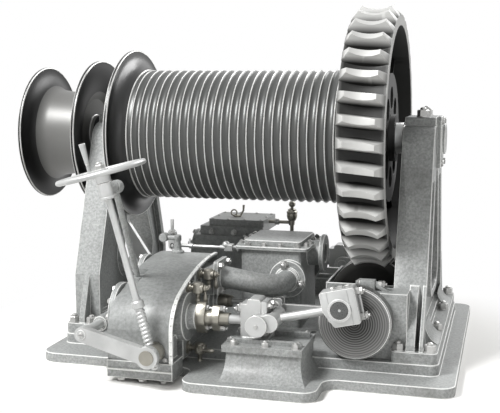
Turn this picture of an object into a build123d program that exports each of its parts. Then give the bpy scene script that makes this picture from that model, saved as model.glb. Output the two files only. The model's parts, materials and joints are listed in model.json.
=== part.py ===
from build123d import *
import math
import os

# Steam winch, all sizes in millimetres.
# X runs along the drum towards the worm wheel, Y to the back, Z up from the underside of the bed.

# Bed
BED_X = (-915, 920)
BED_Y = 748
NARROW_X = -490
NARROW_Y = 703
LIP_TOP = 44
BULGE_X = (-170, 395)
BULGE_Y = 945
PLATFORM_X = (-876, 845)
PLATFORM_Y = 606
NARROW_PLATFORM_Y = 534
DECK = 91
POCKET_TOP = 28
FOUNDATION_X = (-600, 240)
FOUNDATION_Y = 210
FOUNDATION_HOLE = 17

# Drum, warping head and their shaft
DRUM_Z = 990
CREST = 315
GROOVE = 305
GROOVE_PITCH = 40
GROOVES = 25
GROOVE_START = -617
SHAFT = 60
RUNNING = 0.06

# Worm wheel and worm
WHEEL_X = 497
TEETH = 36
WHEEL_PITCH = 570
TOOTH_PITCH = 2 * math.pi * WHEEL_PITCH / TEETH
WORM_PITCH = 167
WORM_CORE = 138
WORM_TIP = 187
WORM_HALF = 165
LEAD_SLOPE = TOOTH_PITCH / (2 * math.pi * WORM_PITCH)
FLANK = 0.292
ENGINE_Z = DRUM_Z - WHEEL_PITCH - WORM_PITCH

# Standards
LEFT_LEG = (-857, -732)
RIGHT_LEG = (636, 776)
FOOT_TOP = 138
LEFT_FOOT_Y = 526
RIGHT_FOOT_Y = 600
KNEE = (445, 353)
SHOULDER = (225, 985)
LEG_TOP = 130
CAP_SEAT = 1054
LEFT_ARCH = (150, 300)
RIGHT_ARCH = (205, 205)
BUSH = 80
WORM_SHAFT = 50
WORM_BUSH = 66
HOUSING_Y = (-556, -440)

# Engines
ENGINE_Y = 690
VALVE_Y = 370
THROW = 90
ROD = 346
FRONT_CRANK = math.radians(120)
REAR_CRANK = math.radians(30)
ECCENTRIC = 20
ECCENTRIC_LEAD = math.radians(100)
SHEAVE = 85
BORE = 82
VALVE_BORE = 62
PISTON_ROD = 20
PISTON_BACK = 532
SOCKET = 50
VALVE_ROD = 13
GUIDE_TOP = 178
CYLINDER_X = (-505, -205)
HOOD_X = (-505, -215)
HOOD_STEP_X = -440
HOOD_FRONT = -875
HOOD_BACK = -250
HOOD_TOP = 447
HOOD_SHOULDER_X = -495
HOOD_SHOULDER_Y = -560
HOOD_FOOT = 95
SHEET = 6

# Control chest between the engines
CHEST_X = (-122, 173)
CHEST_Y = 175
CHEST_TOP = 462
CHEST_FLANGE = 16
INLET_Z = 428
INLET_FACE = 256
PIPE = 48
PIPE_BORE = 36
PIPE_Y = 405
PIPE_Z = 376
PIPE_BEND = 120
OUTLET_X = 114
OUTLET_Y = 196
OUTLET_Z = 334

# Clutch gear at the left
CLUTCH_X = -574
CLUTCH_Z = 222
LEVER_SHAFT = 21
NUT_X = -290
NUT_Z = 145
SPINDLE_Y = -922
LEVER_Y = (-986, -954)
SPINDLE_LEAN = math.radians(14.5)
SPINDLE_TIP = math.radians(2.5)
SPINDLE = 14
SCREW = 21
SWIVEL_UP = 700
STAY_Y = (-872, -832)
STAY_PIN = 14
WHEEL_UP = 772
HANDWHEEL = 176
PEG_ANGLE = math.radians(130)

# Control rod above the front cylinder
CONTROL_Y = -158
CONTROL_Z = 458
CONTROL_PIVOT = (-470, 518)
STEM_Y = CONTROL_Y + 30
STEM = 10

# Drain cocks of the front engine, as Y and Z
COCKS = {"upper": (-660, 372), "lower": (-640, 100), "chest": (-508, 402)}
COCK_X = -150
COCK_REACH = 60
LOW_COCK_X = -168


def block(x, y, z):
    """Box between three pairs of limits."""
    place = Pos((x[0] + x[1]) / 2, (y[0] + y[1]) / 2, (z[0] + z[1]) / 2)
    return place * Box(x[1] - x[0], y[1] - y[0], z[1] - z[0])


def bar(start, end, radius):
    """Round bar between two points."""
    axis = Vector(*end) - Vector(*start)
    return extrude(Plane(origin=start, z_dir=axis) * Circle(radius), axis.length)


def ring_x(x, outer, inner=0.0, y=0.0, z=DRUM_Z):
    """Disc or ring about an axis along X."""
    face = Circle(outer) - Circle(inner) if inner else Circle(outer)
    return extrude(Plane(origin=(x[0], y, z), z_dir=(1, 0, 0)) * face, x[1] - x[0])


def ring_y(y, outer, inner=0.0, x=WHEEL_X, z=ENGINE_Z):
    """Disc or ring about an axis along Y."""
    face = Circle(outer) - Circle(inner) if inner else Circle(outer)
    return extrude(Plane(origin=(x, y[0], z), z_dir=(0, 1, 0)) * face, y[1] - y[0])


def ring_z(z, outer, inner=0.0, x=0.0, y=0.0):
    """Disc or ring about an upright axis."""
    face = Circle(outer) - Circle(inner) if inner else Circle(outer)
    return extrude(Plane(origin=(x, y, z[0])) * face, z[1] - z[0])


def spun(edges, axis_point=(0, 0, DRUM_Z)):
    """Turned body from a closed outline of X and radius."""
    body = revolve(make_face(edges), Axis.X)
    return Pos(*axis_point) * body


def slab_x(face, x):
    """Outline in Y and Z pulled along X."""
    return extrude(Plane.YZ.offset(x[0]) * face, x[1] - x[0])


def slab_y(face, y):
    """Outline in X and Z pulled along Y."""
    return extrude(Plane.XZ.offset(-y[1]) * face, y[1] - y[0])


def back(shape):
    """The same shape on the rear engine."""
    return mirror(shape, about=Plane.XZ)


def group(*shapes):
    """Several solids kept as one node."""
    solids = []
    for shape in shapes:
        solids += shape.solids()
    return Compound(children=solids)


def spindle_way():
    """Direction of the clutch spindle, which leans to the left and a little forward."""
    level = math.cos(SPINDLE_TIP)
    return (-math.sin(SPINDLE_LEAN) * level, -math.sin(SPINDLE_TIP), math.cos(SPINDLE_LEAN) * level)


def spindle_point(up):
    """Point on the clutch spindle a given way above the nut."""
    way = spindle_way()
    return (NUT_X + up * way[0], SPINDLE_Y + up * way[1], NUT_Z + up * way[2])


def spindle_plane(up):
    """Plane square to the clutch spindle."""
    return Plane(
        origin=spindle_point(up),
        x_dir=(math.cos(SPINDLE_LEAN), 0, math.sin(SPINDLE_LEAN)),
        z_dir=spindle_way(),
    )


# Bed and standards


def plan(x, y):
    """Rectangle on plan, with the drum axis in its middle."""
    return Pos((x[0] + x[1]) / 2, 0) * Rectangle(x[1] - x[0], 2 * y)


def bedplate():
    wide = plan((NARROW_X, BED_X[1]), BED_Y) + plan(BULGE_X, BULGE_Y)
    narrow = plan((BED_X[0], 0), NARROW_Y)
    bed = extrude(fillet(wide.vertices(), 60) + fillet(narrow.vertices(), 75), LIP_TOP)
    wide = plan((NARROW_X, PLATFORM_X[1]), PLATFORM_Y)
    narrow = plan((PLATFORM_X[0], 0), NARROW_PLATFORM_Y)
    top = fillet(wide.vertices(), 40) + fillet(narrow.vertices(), 40)
    bed += extrude(Pos(0, 0, LIP_TOP) * top, DECK - LIP_TOP)
    worm_pit = block((385, 609), (-185, 185), (52, DECK + 1))
    bed -= worm_pit
    places = [(x, y) for x in FOUNDATION_X for y in (-FOUNDATION_Y, FOUNDATION_Y)]
    bosses = [ring_z((0, DECK), 70, x=x, y=y) for x, y in places]
    for x in ((-860, -470), (-430, -40), (40, 440), (480, 870)):
        for y in ((-660, -370), (-330, -40), (40, 330), (370, 660)):
            pocket = block(x, y, (-1, POCKET_TOP))
            for boss in bosses:
                pocket -= boss
            bed -= pocket
    for x, y in places:
        bed -= ring_z((-1, DECK + 1), FOUNDATION_HOLE, x=x, y=y)
    return bed


def leg_outline():
    """Both legs as one face, upright below the knee and leaning in above it."""
    half = make_face(
        [
            Line((0, FOOT_TOP), (KNEE[0], FOOT_TOP)),
            Line((KNEE[0], FOOT_TOP), KNEE),
            Line(KNEE, SHOULDER),
            TangentArc((LEG_TOP, CAP_SEAT), SHOULDER, tangent=(1, 0)),
            Line((LEG_TOP, CAP_SEAT), (0, CAP_SEAT)),
            Line((0, CAP_SEAT), (0, FOOT_TOP)),
        ]
    )
    return half + mirror(half, about=Plane.YZ)


def arch_outline(reach):
    """Opening between the legs, given its reach to the front and to the back."""
    front, rear = reach
    arch = make_face(
        [
            Line((-front, 300), (rear, 300)),
            Line((rear, 300), (84, 760)),
            ThreePointArc((84, 760), (0, 855), (-84, 760)),
            Line((-84, 760), (-front, 300)),
        ]
    )
    return fillet(arch.vertices().sort_by(Axis.Y)[:2], 90)


def bush_seat():
    seat = Pos(0, DRUM_Z) * Circle(BUSH)
    seat -= Pos(0, DRUM_Z + BUSH) * Rectangle(4 * BUSH, 2 * BUSH)
    upper = (DRUM_Z + CAP_SEAT) / 2
    return seat + Pos(0, upper) * Rectangle(2 * BUSH, CAP_SEAT - DRUM_Z)


def a_frame(x, reach):
    """Pair of legs with sunk side panels, an arch between them and an open bush seat."""
    face = leg_outline() - arch_outline(reach) - bush_seat()
    frame = slab_x(face, x)
    panel = offset(leg_outline(), -34) - offset(arch_outline(reach), 34)
    panel -= Pos(0, CAP_SEAT - 80) * Rectangle(500, 330)
    for side in ((x[0], x[0] + 26), (x[1] - 26, x[1])):
        frame -= slab_x(panel, side)
    return frame


def gussets(x, reach, top):
    """Upright ribs before and behind the legs, running out to the edge of the foot."""
    root = -KNEE[0] + 20
    face = make_face(
        Polyline(
            (root, DECK), (-reach, DECK), (-reach, FOOT_TOP + 24), (-KNEE[0], top), (root, top), close=True
        )
    )
    rib = slab_x(face, x)
    return rib + back(rib)


def left_standard():
    frame = a_frame(LEFT_LEG, LEFT_ARCH)
    foot = block((-868, LEFT_LEG[1] + 12), (-LEFT_FOOT_Y, LEFT_FOOT_Y), (DECK, FOOT_TOP))
    frame += fillet(foot.edges().filter_by(Axis.Z), 20)
    return frame + gussets((-808, -782), LEFT_FOOT_Y - 14, KNEE[1])


def right_standard():
    frame = a_frame(RIGHT_LEG, RIGHT_ARCH)
    foot = block((644, 838), (-RIGHT_FOOT_Y, RIGHT_FOOT_Y), (DECK, FOOT_TOP))
    frame += fillet(foot.edges().filter_by(Axis.Z), 25)
    frame += gussets((707, 744), RIGHT_FOOT_Y - 14, KNEE[1] + 34)
    frame += gussets((762, RIGHT_LEG[1]), RIGHT_FOOT_Y - 14, KNEE[1] + 34)
    flare = make_face(
        [
            TangentArc((RIGHT_LEG[1], 223), (832, FOOT_TOP), tangent=(0, -1)),
            Line((832, FOOT_TOP), (RIGHT_LEG[1], FOOT_TOP)),
            Line((RIGHT_LEG[1], FOOT_TOP), (RIGHT_LEG[1], 223)),
        ]
    )
    flare = slab_y(flare, (-KNEE[0], -KNEE[0] + 200))
    housing = block((412, 707), HOUSING_Y, (DECK, 372))
    housing = fillet(housing.edges().filter_by(Axis.Y).group_by(Axis.X)[0].sort_by(Axis.Z)[-1:], 60)
    housing -= ring_y((HOUSING_Y[0] - 1, HOUSING_Y[1] + 1), WORM_BUSH)
    for side in (flare, housing):
        frame += side
        frame += back(side)
    wheel_room = block((600, 702), (-206, 206), (DECK - 1, 470))
    return frame - wheel_room


def bearing_caps():
    caps = []
    for x in (LEFT_LEG, RIGHT_LEG):
        cap = block(x, (-LEG_TOP - 4, LEG_TOP + 4), (CAP_SEAT, CAP_SEAT + 38))
        cap = fillet(cap.edges().filter_by(Axis.X).sort_by(Axis.Z)[-2:], 16)
        caps.append(cap)
    return group(*caps)


def bearing_bushes():
    bushes = []
    for x in (LEFT_LEG, RIGHT_LEG):
        bush = slab_x(bush_seat(), x)
        bush -= ring_x((x[0] - 1, x[1] + 1), SHAFT + RUNNING)
        bushes.append(bush)
    worm_bush = ring_y((HOUSING_Y[0], -470), WORM_BUSH, WORM_SHAFT + RUNNING)
    return group(*bushes, worm_bush, back(worm_bush))


def shaft_end_cover():
    plate = Pos(0, DRUM_Z - 14) * RectangleRounded(176, 236, 30)
    cover = slab_x(plate, (RIGHT_LEG[1], RIGHT_LEG[1] + 20))
    cover += ring_x((RIGHT_LEG[1] + 20, RIGHT_LEG[1] + 36), 70)
    return cover


# Drum train


def drum_barrel():
    line = [
        Line((-638, 66.2), (-638, CREST)),
        Line((-638, CREST), (GROOVE_START, CREST)),
    ]
    x = GROOVE_START
    for turn in range(GROOVES):
        line.append(ThreePointArc((x, CREST), (x + 19, GROOVE), (x + 38, CREST)))
        if turn < GROOVES - 1:
            line.append(Line((x + 38, CREST), (x + GROOVE_PITCH, CREST)))
        x += GROOVE_PITCH
    last = x - 2
    line += [
        Line((last, CREST), (392, CREST)),
        Line((392, CREST), (392, 290)),
        Line((392, 290), (342, 268)),
        Line((342, 268), (-600, 268)),
        Line((-600, 268), (-600, 110)),
        Line((-600, 110), (-500, 110)),
        Line((-500, 110), (-500, 66.2)),
        Line((-500, 66.2), (-638, 66.2)),
    ]
    return spun(line)


def drum_flange():
    return spun(
        [
            Line((-638, CREST + 3), (-660, 322)),
            ThreePointArc((-660, 322), (-690, 350), (-700, 412)),
            Line((-700, 412), (-719, 412)),
            Line((-719, 412), (-719, 396)),
            ThreePointArc((-719, 396), (-706, 335), (-668, 296)),
            Line((-668, 296), (-668, 205)),
            Line((-668, 205), (-638, 205)),
            Line((-638, 205), (-638, CREST + 3)),
        ]
    )


def thrust_bush():
    """Flanged bush on which the drum turns and against which the clutch arm pushes."""
    bush = ring_x((-690, -638), 200, SHAFT + RUNNING)
    return bush + ring_x((-638, -500), 66.2, SHAFT + RUNNING)


def drum_shaft():
    return spun(
        [
            Line((-1205, 0), (-1205, 46)),
            Line((-1205, 46), (-880, 46)),
            Line((-880, 46), (-880, SHAFT)),
            Line((-880, SHAFT), (380, SHAFT)),
            Line((380, SHAFT), (380, 72)),
            Line((380, 72), (620, 72)),
            Line((620, 72), (620, SHAFT)),
            Line((620, SHAFT), (772, SHAFT)),
            Line((772, SHAFT), (772, 0)),
            Line((772, 0), (-1205, 0)),
        ]
    )


def warping_head():
    """Waisted head, dished towards the standard and hollow at its outer end."""
    return spun(
        [
            Line((-1180, 46), (-1180, 90)),
            Line((-1180, 90), (-960, 90)),
            Line((-960, 90), (-960, 165)),
            Line((-960, 165), (-1180, 178)),
            Line((-1180, 178), (-1186, 296)),
            Line((-1186, 296), (-1200, 316)),
            Line((-1200, 316), (-1200, 329)),
            Line((-1200, 329), (-1182, 329)),
            ThreePointArc((-1182, 329), (-1163, 250), (-1100, 215)),
            Line((-1100, 215), (-968, 196)),
            ThreePointArc((-968, 196), (-918, 240), (-908, 361)),
            Line((-908, 361), (-888, 361)),
            Line((-888, 361), (-888, 345)),
            ThreePointArc((-888, 345), (-900, 240), (-932, 172)),
            Line((-932, 172), (-932, 90)),
            Line((-932, 90), (-884, 90)),
            Line((-884, 90), (-884, 46)),
            Line((-884, 46), (-1180, 46)),
        ]
    )


def throat(edge, middle, half):
    """Hollowed top line across the wheel, given as X and radius."""
    return ThreePointArc((-half, edge), (0, middle), (half, edge))


def worm_wheel():
    half = 101.5
    rim = spun(
        [
            throat(561, 543, half),
            Line((half, 561), (half, 517)),
            Line((half, 517), (-half, 517)),
            Line((-half, 517), (-half, 561)),
        ],
        (WHEEL_X, 0, DRUM_Z),
    )
    blank = spun(
        [
            throat(610, 592, 67),
            Line((67, 610), (half, 566)),
            Line((half, 566), (half, 530)),
            Line((half, 530), (-half, 530)),
            Line((-half, 530), (-half, 566)),
            Line((-half, 566), (-67, 610)),
        ],
        (WHEEL_X, 0, DRUM_Z),
    )
    teeth = [tooth(number) & blank for number in range(TEETH)]
    wheel = rim
    for piece in teeth:
        wheel += piece
    x = WHEEL_X
    wheel += ring_x((x - half, x - half + 24), 518, 72)
    wheel += ring_x((x - half, x + half - 14), 110, 72)
    wheel += ring_x((x - half + 24, x + 62), 300, 270)
    holes = PolarLocations(186, 8)
    disc = Circle(300) - Circle(72) - holes * Circle(53)
    wheel += slab_x(Pos(0, DRUM_Z) * disc, (x + 40, x + 62))
    rib = block((x - half + 24, x + 30), (-9, 9), (DRUM_Z + 290, DRUM_Z + 518))
    for number in range(8):
        wheel += Pos(0, 0, DRUM_Z) * Rot(45 * number, 0, 0) * Pos(0, 0, -DRUM_Z) * rib
    return wheel + clutch_cone()


def tooth(number):
    """Slanting straight tooth, longer than the wheel is wide."""
    run = 230
    drift = run * LEAD_SLOPE
    outline = make_face(
        Polyline((-31.4, 541), (-10.5, 613), (10.5, 613), (31.4, 541), close=True)
    )
    start = Plane.YZ.offset(-run / 2) * Pos(drift / 2, 0) * outline
    bar_shape = Solid.extrude(start.face(), Vector(run, -drift, 0))
    return Pos(WHEEL_X, 0, DRUM_Z) * Rot(360 / TEETH * number, 0, 0) * bar_shape


def clutch_lining():
    return spun(
        [
            Line((392, 290), (392, 281)),
            Line((392, 281), (342, 259)),
            Line((342, 259), (342, 268)),
            Line((342, 268), (392, 290)),
        ]
    )


def clutch_cone():
    return spun(
        [
            Line((395.5, 280.7), (392, 280.7)),
            Line((392, 280.7), (342, 258.7)),
            Line((342, 258.7), (342, 232)),
            Line((342, 232), (376, 232)),
            Line((376, 232), (376, 130)),
            Line((376, 130), (395.5, 130)),
            Line((395.5, 130), (395.5, 280.7)),
        ]
    )


# Worm train


def worm():
    core = ring_y((-WORM_HALF, WORM_HALF), WORM_CORE, WORM_SHAFT)
    turns = 4
    start = -(turns / 2 + 0.5) * TOOTH_PITCH
    path = Helix(TOOTH_PITCH, (turns + 1) * TOOTH_PITCH, WORM_PITCH, center=(0, 0, start))
    half = 0.215 * TOOTH_PITCH
    inner = WORM_CORE - 6
    outer = WORM_TIP
    section = make_face(
        Polyline(
            (inner, start - half - (WORM_PITCH - inner) * FLANK),
            (outer, start - half + (outer - WORM_PITCH) * FLANK),
            (outer, start + half - (outer - WORM_PITCH) * FLANK),
            (inner, start + half + (WORM_PITCH - inner) * FLANK),
            close=True,
        )
    )
    section = Plane.XZ * section
    thread = sweep(section, path=path, is_frenet=True)
    along = Plane(origin=(WHEEL_X, 0, ENGINE_Z), x_dir=(0, 0, 1), z_dir=(0, 1, 0))
    thread = along.location * thread
    thread &= ring_y((-WORM_HALF, WORM_HALF), WORM_TIP + 5, WORM_CORE - 3)
    return core + thread


def worm_shaft():
    return ring_y((-566, 566), WORM_SHAFT)


def crank_discs():
    disc = ring_y((-632, -566), 155)
    disc = chamfer(disc.edges().group_by(Axis.Y)[0], 6)
    return group(disc, back(disc))


def sheave_centre(crank):
    angle = crank + ECCENTRIC_LEAD
    return (WHEEL_X + ECCENTRIC * math.cos(angle), ENGINE_Z + ECCENTRIC * math.sin(angle))


def eccentric_sheaves():
    sheaves = []
    for side, crank in ((-1, FRONT_CRANK), (1, REAR_CRANK)):
        x, z = sheave_centre(crank)
        low = side * VALVE_Y - 26
        sheave = ring_y((low, low + 52), SHEAVE, x=x, z=z)
        sheaves.append(sheave - ring_y((low - 1, low + 53), WORM_SHAFT))
    return group(*sheaves)


# Engine parts, drawn for the front engine unless a side is named


def crank_pin(crank):
    return (WHEEL_X + THROW * math.cos(crank), ENGINE_Z + THROW * math.sin(crank))


def gudgeon_x(crank):
    pin_x, pin_z = crank_pin(crank)
    rise = pin_z - ENGINE_Z
    return pin_x - math.sqrt(ROD * ROD - rise * rise)


def cylinder():
    casting = ring_x(CYLINDER_X, 104, y=-ENGINE_Y, z=ENGINE_Z)
    casting += ring_x((-430, -190), 96, y=-VALVE_Y, z=ENGINE_Z)
    saddle = block((-428, -240), (-640, -330), (DECK, 330))
    drain_corner = block((-428, -232), (-700, -610), (60, 200))
    cock_plate = block((-240, -222), (-690, -440), (300, 378))
    cock_plate += block((-240, -222), (-560, -440), (300, 412))
    foot_web = block((-480, -240), (-800, -750), (60, 190))
    foot = block((-508, -216), (-885, -750), (20, HOOD_FOOT))
    inlet = block((-290, -162), (-PIPE_Y - 72, -PIPE_Y + 72), (300, 420))
    for piece in (saddle, drain_corner, cock_plate, foot_web, foot, inlet):
        casting += piece
    casting += ring_x((-205, -166), 54, y=-ENGINE_Y, z=ENGINE_Z)
    casting += ring_x((-190, -170), 36, y=-VALVE_Y, z=ENGINE_Z)
    casting -= ring_x((-506, -228), BORE, y=-ENGINE_Y, z=ENGINE_Z)
    casting -= ring_x((-431, -215), VALVE_BORE, y=-VALVE_Y, z=ENGINE_Z)
    casting -= ring_x((-230, -160), PISTON_ROD + RUNNING, y=-ENGINE_Y, z=ENGINE_Z)
    casting -= ring_x((-230, -160), VALVE_ROD + RUNNING, y=-VALVE_Y, z=ENGINE_Z)
    casting -= ring_x((-270, -160), PIPE_BORE, y=-PIPE_Y, z=PIPE_Z)
    casting -= ring_z((ENGINE_Z, PIPE_Z), 26, x=-256, y=-PIPE_Y)
    return casting


def cylinder_heads():
    head = ring_x((-530, -505), 130, y=-ENGINE_Y, z=ENGINE_Z)
    head += ring_x((-505, -485), BORE, y=-ENGINE_Y, z=ENGINE_Z)
    plug = ring_x((-430, -416), VALVE_BORE, y=-VALVE_Y, z=ENGINE_Z)
    round_cover = ring_x((HOOD_X[0] - 25, HOOD_X[0]), 110, y=-390, z=345)
    solids = [head, plug, round_cover]
    return group(*solids, *[back(solid) for solid in solids])


def hood_profile():
    """Cross-section of the hood over cylinder and valve chest, rounded to the front."""
    return make_face(
        [
            Line((HOOD_FRONT, HOOD_FOOT), (HOOD_FRONT, 225)),
            ThreePointArc((HOOD_FRONT, 225), (-840, 308), (-770, 360)),
            ThreePointArc((-770, 360), (-597, 413), (HOOD_BACK, HOOD_TOP)),
            Line((HOOD_BACK, HOOD_TOP), (HOOD_BACK, HOOD_FOOT)),
            Line((HOOD_BACK, HOOD_FOOT), (HOOD_FRONT, HOOD_FOOT)),
        ]
    )


def barrel_profile():
    """Lower cross-section at the left end, over the cylinder alone."""
    return make_face(
        [
            Line((HOOD_FRONT, HOOD_FOOT), (HOOD_FRONT, 225)),
            ThreePointArc((HOOD_FRONT, 225), (-838, 300), (-770, 344)),
            ThreePointArc((-770, 344), (-660, 375), (-540, 382)),
            Line((-540, 382), (HOOD_BACK, 382)),
            Line((HOOD_BACK, 382), (HOOD_BACK, HOOD_FOOT)),
            Line((HOOD_BACK, HOOD_FOOT), (HOOD_FRONT, HOOD_FOOT)),
        ]
    )


def hood_room(profile):
    """Space under the sheet, open at the bottom."""
    width = HOOD_BACK - HOOD_FRONT - 2 * SHEET
    mouth = Pos((HOOD_FRONT + HOOD_BACK) / 2, HOOD_FOOT) * Rectangle(width, 4 * SHEET)
    return offset(profile, -SHEET) + mouth


def hood_solid():
    solid = slab_x(hood_profile(), (HOOD_SHOULDER_X, HOOD_X[1]))
    solid -= block((HOOD_X[0] - 1, HOOD_STEP_X), (HOOD_FRONT - 1, HOOD_SHOULDER_Y), (0, 600))
    return solid + slab_x(barrel_profile(), (HOOD_X[0], HOOD_STEP_X))


def lagging():
    hood = hood_solid()
    hood -= slab_x(hood_room(hood_profile()), (HOOD_STEP_X + SHEET, HOOD_X[1] + 1))
    hood -= slab_x(hood_room(barrel_profile()), (HOOD_X[0] + SHEET, HOOD_STEP_X + SHEET + 1))
    return hood - ring_x((HOOD_X[0] - 1, HOOD_X[0] + 40), 108, y=-ENGINE_Y, z=ENGINE_Z)


def rear_chest_cover():
    """Stepped cover on the rear hood, which stands out over its mouth."""
    right = -128
    mouth = HOOD_X[1] - 2
    cover = block((-468, mouth), (262, 560), (HOOD_TOP - 60, 495)) - back(hood_solid())
    cover += block((mouth, right), (262, 560), (465, 495))
    cover += block((mouth + 4, right - 12), (262, 274), (434, 466))
    plate = block((-425, right), (272, 545), (495, 530))
    return cover + fillet(plate.edges().filter_by(Axis.Z), 10)


def gland_face(y, middle, lobe):
    """Oval plate with a stud lobe above and below the rod."""
    reach = 42
    edges = (Pos(y, ENGINE_Z) * Circle(middle)).edges()
    for z in (ENGINE_Z - reach, ENGINE_Z + reach):
        edges += (Pos(y, z) * Circle(lobe)).edges()
    return make_hull(edges)


def glands():
    solids = []
    for y in (-ENGINE_Y, ENGINE_Y):
        gland = slab_x(gland_face(y, 48, 26), (-166, -126))
        gland += ring_x((-126, -98), 34, y=y, z=ENGINE_Z)
        gland += slab_x(gland_face(y, 36, 14), (-98, -66))
        gland += ring_x((-66, -25), 27, y=y, z=ENGINE_Z)
        solids.append(gland - ring_x((-170, -20), PISTON_ROD + 0.5, y=y, z=ENGINE_Z))
    for y in (-VALVE_Y, VALVE_Y):
        solids.append(ring_x((-170, -126), 30, VALVE_ROD + 0.5, y=y, z=ENGINE_Z))
    return group(*solids)


def guide():
    """Pedestal with a hollow flare at its foot, a bed for the slipper and two keepers."""
    rear = -607
    sections = []
    for z, x, front in ((LIP_TOP, (-16, 344), -890), (78, (-7, 322), -846), (150, (-4, 312), -820)):
        middle = Pos((x[0] + x[1]) / 2, (front + rear) / 2, z)
        sections.append((middle * Rectangle(x[1] - x[0], rear - front)).face())
    body = loft(sections)
    body += block((0, 312), (rear, -562), (DECK, 150))
    body += block((-20, 318), (-830, -560), (150, GUIDE_TOP))
    keepers = [
        block((-10, 306), (y, y + 20), (GUIDE_TOP, GUIDE_TOP + 18)) for y in (-ENGINE_Y - 92, -ENGINE_Y + 72)
    ]
    return group(body, *keepers)


def piston(crank):
    x = gudgeon_x(crank)
    back_x = x - PISTON_BACK
    head = ring_x((back_x, back_x + 55), BORE - RUNNING, y=-ENGINE_Y, z=ENGINE_Z)
    return head + ring_x((back_x + 55, x - SOCKET), PISTON_ROD, y=-ENGINE_Y, z=ENGINE_Z)


def crosshead(crank):
    x = gudgeon_x(crank)
    y = (-ENGINE_Y - 46, -ENGINE_Y + 46)
    shoe_top = GUIDE_TOP + 14
    body = block((x - 52, x + 8), y, (shoe_top, ENGINE_Z + 102))
    body = fillet(body.edges().filter_by(Axis.Y).sort_by(Axis.Z)[-2:], 14)
    body += block((x - 80, x - 52), y, (shoe_top, ENGINE_Z + 81))
    body += block((x - 74, x + 40), (-ENGINE_Y - 71, -ENGINE_Y + 71), (GUIDE_TOP + 0.4, shoe_top))
    body -= ring_x((x - 90, x - SOCKET), PISTON_ROD, y=-ENGINE_Y, z=ENGINE_Z)
    pin = ring_y((-ENGINE_Y - 88, -ENGINE_Y + 88), 26, x=x)
    pin += ring_y((-ENGINE_Y - 100, -ENGINE_Y - 84), 46, x=x)
    return body + pin


def connecting_rod(crank):
    """Forked rod with its big end and crank pin, drawn from the gudgeon along X and then tilted."""
    cheek_in, cheek_out = 50, 82
    yoke = make_hull((Pos(66, 0) * Circle(24)).edges() + (Pos(52, 0) * Circle(38)).edges())
    rod = slab_y(yoke, (-cheek_out, cheek_out))
    rod -= slab_y(Pos(29, 0) * Rectangle(58, 120), (-cheek_in, cheek_in))
    rod += bar((70, 0, 0), (ROD - 66, 0, 0), 18.5)
    cheek = make_hull(Circle(42).edges() + (Pos(56, 0) * Circle(30)).edges())
    for y in ((-cheek_out, -cheek_in), (cheek_in, cheek_out)):
        rod += slab_y(cheek, y)
    rod -= ring_y((-cheek_out - 1, cheek_out + 1), 26 + RUNNING, x=0, z=0)
    end = make_face(Polyline((-72, 83), (76, 83), (76, -69), (-36, -69), (-72, 2), close=True))
    rod += slab_y(Pos(ROD, 0) * fillet(end.vertices(), 10), (-40, 40))
    rod += ring_y((-50, -40), 48, x=ROD, z=0)
    rod -= ring_y((-51, -45), 38, x=ROD, z=0)
    rod += ring_y((-30, 57.7), 43, x=ROD, z=0)
    pin_x, pin_z = crank_pin(crank)
    tilt = math.degrees(math.asin((pin_z - ENGINE_Z) / ROD))
    return Pos(gudgeon_x(crank), -ENGINE_Y, ENGINE_Z) * Rot(0, -tilt, 0) * rod


def valve_rod(crank):
    shift = ECCENTRIC * math.cos(crank + ECCENTRIC_LEAD)
    y, z = -VALVE_Y, ENGINE_Z
    stem = ring_x((-390, 40), VALVE_ROD, y=y, z=z)
    for x in ((-390, -350), (-290, -250)):
        stem += ring_x(x, VALVE_BORE - RUNNING, y=y, z=z)
    fork = block((10, 150), (y - 32, y + 32), (z - 34, z + 34))
    fork = fillet(fork.edges().filter_by(Axis.Y), 14)
    fork -= block((48, 160), (y - 15, y + 15), (z - 50, z + 50))
    for side in (-1, 1):
        low = y + (15 if side > 0 else -40)
        fork += ring_y((low, low + 25), 18, x=118, z=z)
    return Pos(shift, 0, 0) * (stem + fork)


def eccentric_rod(crank):
    x, z = sheave_centre(crank)
    y = -VALVE_Y
    reach = WHEEL_X - 118
    strap = ring_y((y - 22, y + 22), 108, SHEAVE + RUNNING, x=x, z=z)
    strap += block((x - 16, x + 16), (y - 20, y + 20), (z + 100, z + 132))
    strap += block((x - 136, x - 100), (y - 20, y + 20), (z - 44, z + 44))
    arm = block((x - reach + 40, x - 130), (y - 11, y + 11), (z - 16, z + 16))
    tongue = make_hull(
        (Pos(x - reach, z) * Circle(18)).edges() + (Pos(x - reach + 60, z) * Circle(16)).edges()
    )
    tongue -= Pos(x - reach, z) * Circle(10)
    return strap + arm + slab_y(tongue, (y - 11, y + 11))


# Steam chest and pipes


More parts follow.
